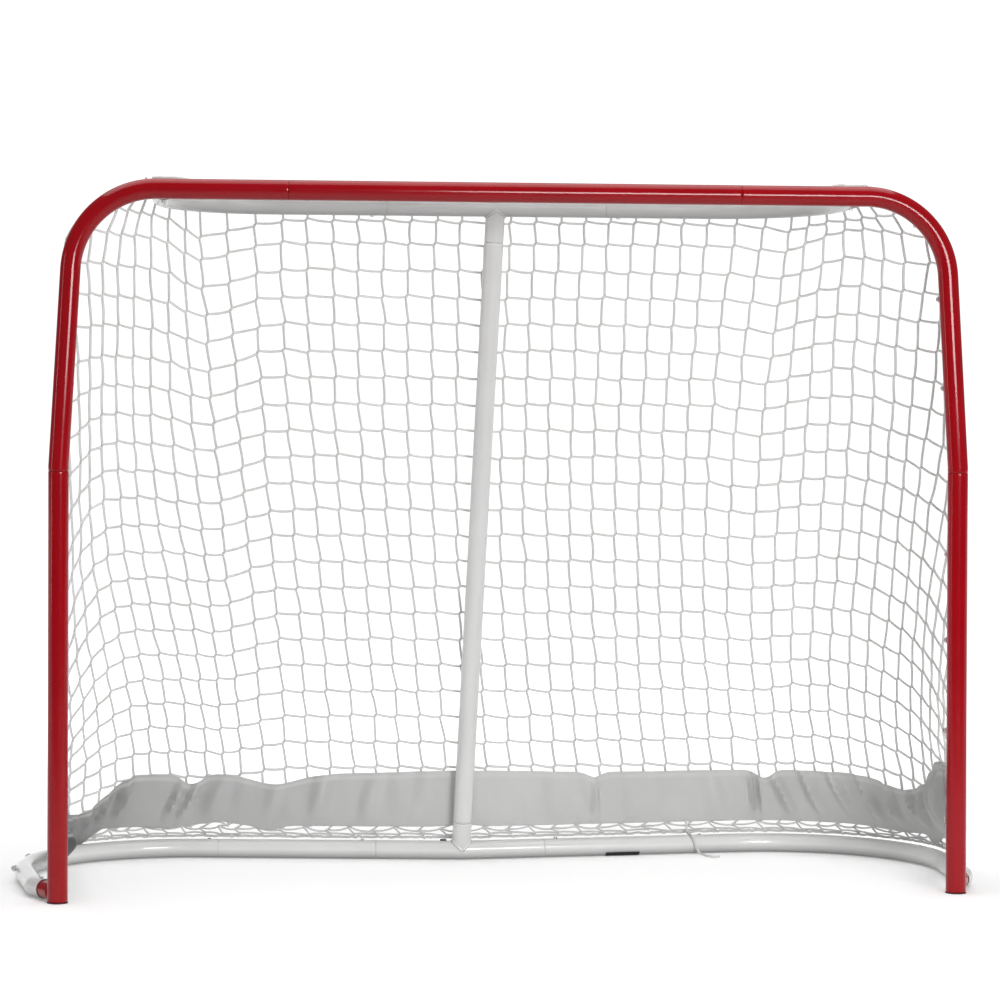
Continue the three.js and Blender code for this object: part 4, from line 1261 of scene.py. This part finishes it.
def build_skirt():
    stations = np.unique(np.round(np.r_[np.linspace(-.985, .985, SKIRT_COLUMNS), [c[0] for c in CREASES]], 4))
    downs = np.r_[0, 0.02, HEM - 0.006, HEM, np.linspace(HEM, 1, SKIRT_ROWS)[1:-1], 0.985, 1.0]
    layers, along, around, rim = [], [], [], []
    for thickness in (HALF_SHEET, -HALF_SHEET):
        travelled, previous = 0.0, None
        for s in stations:
            high, low = skirt_top(s), skirt_bottom(s)
            for d in downs:
                height = high + (low - high) * d
                edge = d in (0, 1.0)
                extra = HALF_SHEET if d < HEM - 0.003 or d > 0.98 else 0.0
                free = 0.35 + 0.65 * math.sin(math.pi * min(1, d + 0.12))
                fold = fold_depth(s, d) * free * (1 + 2.4 * smooth(48, 85, height))
                offset = SKIRT_OFFSET - (fold + math.hypot(fold, FOLD_SOFT)) / 2
                half = (thickness + math.copysign(extra, thickness)) * (0.4 if edge else 1)
                layers.append(net_point(s, height, offset + half))
                along.append(travelled)
                around.append((high - low) / 1000 * d)
                rim.append(1.0 if HEM - 0.012 < d <= HEM or d < 0.01 else 0.0)
            here = layers[-len(downs)]
            if previous is not None:
                travelled += np.linalg.norm(here - previous) / 1000
            previous = here
    rows, count = len(stations), len(downs)
    faces = []

    def at(layer, i, j):
        return (layer * rows + i) * count + j

    for i in range(rows - 1):
        for j in range(count - 1):
            faces.append((at(0, i, j), at(0, i, j + 1), at(0, i + 1, j + 1), at(0, i + 1, j)))
            faces.append((at(1, i, j), at(1, i + 1, j), at(1, i + 1, j + 1), at(1, i, j + 1)))
        for j, flip in ((0, 1), (count - 1, -1)):
            faces.append((at(0, i, j), at(0, i + 1, j), at(1, i + 1, j), at(1, i, j))[::flip])
    for i, flip in ((0, -1), (rows - 1, 1)):
        for j in range(count - 1):
            faces.append((at(0, i, j), at(0, i, j + 1), at(1, i, j + 1), at(1, i, j))[::-flip])
    shape = Shape().add(layers, faces, along, around, rim)
    mesh = shape.mesh("skirt")
    fixed = bmesh.new()
    fixed.from_mesh(mesh)
    bmesh.ops.recalc_face_normals(fixed, faces=fixed.faces)
    fixed.to_mesh(mesh)
    fixed.free()
    piece = make_piece("skirt_cloth", mesh, SKIRT, "frame", ["skirt"], 50.0)


build_skirt()


# --- Lacing cord's loose end ----------------------------------------------------------------------
def tube_line(x, in_front, height):
    slope = (BASE_TEE[1] - BASE_CORNER_Y) / (BASE_TEE[0] - BASE_CORNER_X)
    return vec(x, BASE_TEE[1] + (x - BASE_TEE[0]) * slope - in_front, height)


TAIL_ROUTE = [
    tube_line(418, -5, 62), tube_line(419.5, -5, 50), tube_line(421, -4, 38.3), tube_line(425, 9.4, 37.3),
    tube_line(429, 19, 28.3), tube_line(433, 22.9, 15), tube_line(438, 29.6, 4.5), tube_line(443, 44, 2.4),
    tube_line(446, 60, 2.4), tube_line(451, 73, 2.4), tube_line(459, 80, 2.4), tube_line(467, 79, 2.4),
]


def smooth_through(points, steps=6):
    """A centripetal Catmull-Rom curve through the points."""
    points = [2 * points[0] - points[1], *points, 2 * points[-1] - points[-2]]
    made = []
    for p0, p1, p2, p3 in zip(points, points[1:], points[2:], points[3:]):
        t1 = np.linalg.norm(p1 - p0) ** 0.5
        t2 = t1 + np.linalg.norm(p2 - p1) ** 0.5
        t3 = t2 + np.linalg.norm(p3 - p2) ** 0.5
        for k in range(steps):
            t = t1 + (t2 - t1) * k / steps
            a1 = p0 * (t1 - t) / t1 + p1 * t / t1
            a2 = p1 * (t2 - t) / (t2 - t1) + p2 * (t - t1) / (t2 - t1)
            a3 = p2 * (t3 - t) / (t3 - t2) + p3 * (t - t2) / (t3 - t2)
            b1 = a1 * (t2 - t) / t2 + a2 * t / t2
            b2 = a2 * (t3 - t) / (t3 - t1) + a3 * (t - t1) / (t3 - t1)
            made.append(b1 * (t2 - t) / (t2 - t1) + b2 * (t - t1) / (t2 - t1))
    made.append(points[-2])
    return np.array(made)


def lacing_tail():
    route = smooth_through(TAIL_ROUTE)
    holder = Net()
    holder.strand("net_back", route, 2.0, 12)
    mesh = holder.shapes["net_back"].mesh("lacing_tail")
    piece = make_piece("cord_lacing_tail", mesh, TWINE, "frame", ["lacing_tail"], 60.0)
    path = [tuple(float(x) for x in p) for p in place(route)]
    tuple(path[0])


lacing_tail()


# --- Floor, world and lights ----------------------------------------------------------------------
def build_floor():
    """A pale floor that also glows behind and beside the goal, and is darker well in front of it."""
    size = 30.0
    corners = [(-size, -size, 0), (size, -size, 0), (size, size, 0), (-size, size, 0)]
    mesh = bpy.data.meshes.new("floor")
    mesh.from_pydata(corners, [], [(0, 1, 2, 3)])
    floor = bpy.data.objects.new("floor", mesh)
    bpy.context.scene.collection.objects.link(floor)
    material, tree, shader = new_material("floor_paper", Roughness=0.9)
    shader.inputs["Base Color"].default_value = (0.9, 0.9, 0.9, 1)
    shader.inputs["Specular IOR Level"].default_value = 0.0
    shader.inputs["Emission Color"].default_value = (1, 1, 1, 1)
    coords = tree.nodes.new("ShaderNodeTexCoord")
    axes = split_axes(tree, coords.outputs["Object"])
    aside = maths(tree, "ABSOLUTE", axes["X"])
    behind = fade(tree, axes["Y"], near=0.7, far=3.2, start=0.2, end=0.95)
    beside = fade(tree, aside, near=1.2, far=6.0, start=0.0, end=0.6)
    ahead = fade(tree, axes["Y"], near=-2.6, far=-1.1, start=0.0, end=1.0)
    glow = maths(tree, "MULTIPLY", maths(tree, "MAXIMUM", behind, beside), ahead)
    tree.links.new(glow, shader.inputs["Emission Strength"])
    pale = ramp(tree, ahead, [(0.0, (0.42,) * 3), (1.0, (0.9,) * 3)])
    tree.links.new(pale, shader.inputs["Base Color"])
    mesh.materials.append(material)


def build_world():
    """Even light all round, brighter from the part of the surroundings straight behind the goal."""
    world = bpy.data.worlds.new("studio")
    bpy.context.scene.world = world
    world.use_nodes = True
    tree = world.node_tree
    background = tree.nodes["Background"]
    coords = tree.nodes.new("ShaderNodeTexCoord")
    axes = split_axes(tree, coords.outputs["Generated"])
    level = fade(tree, axes["Y"], near=0.80, far=0.93, start=0.2, end=1.10)
    tree.links.new(level, background.inputs["Strength"])
    background.inputs["Color"].default_value = (1, 1, 1, 1)


def area_light(name, at, target, size, power):
    data = bpy.data.lights.new(name, "AREA")
    data.shape = "RECTANGLE"
    data.size, data.size_y = size
    data.energy = power
    light = bpy.data.objects.new(name, data)
    light.location = at
    aim = Vector(target) - Vector(at)
    light.rotation_euler = aim.to_track_quat("-Z", "Y").to_euler()
    bpy.context.scene.collection.objects.link(light)


build_floor()
build_world()
area_light("overhead", at=(0.0, 0.3, 4.8), target=(0, 0, 0), size=(5.5, 4.5), power=200)
area_light("main", at=(1.25, -4.3, 1.35), target=(0, 0, 0.8), size=(1.6, 0.9), power=104)
area_light("left_strip", at=(-4.6, -0.8, 1.2), target=(-0.8, 0, 0.8), size=(0.3, 1.8), power=12)
bpy.context.scene.view_settings.view_transform = "Standard"
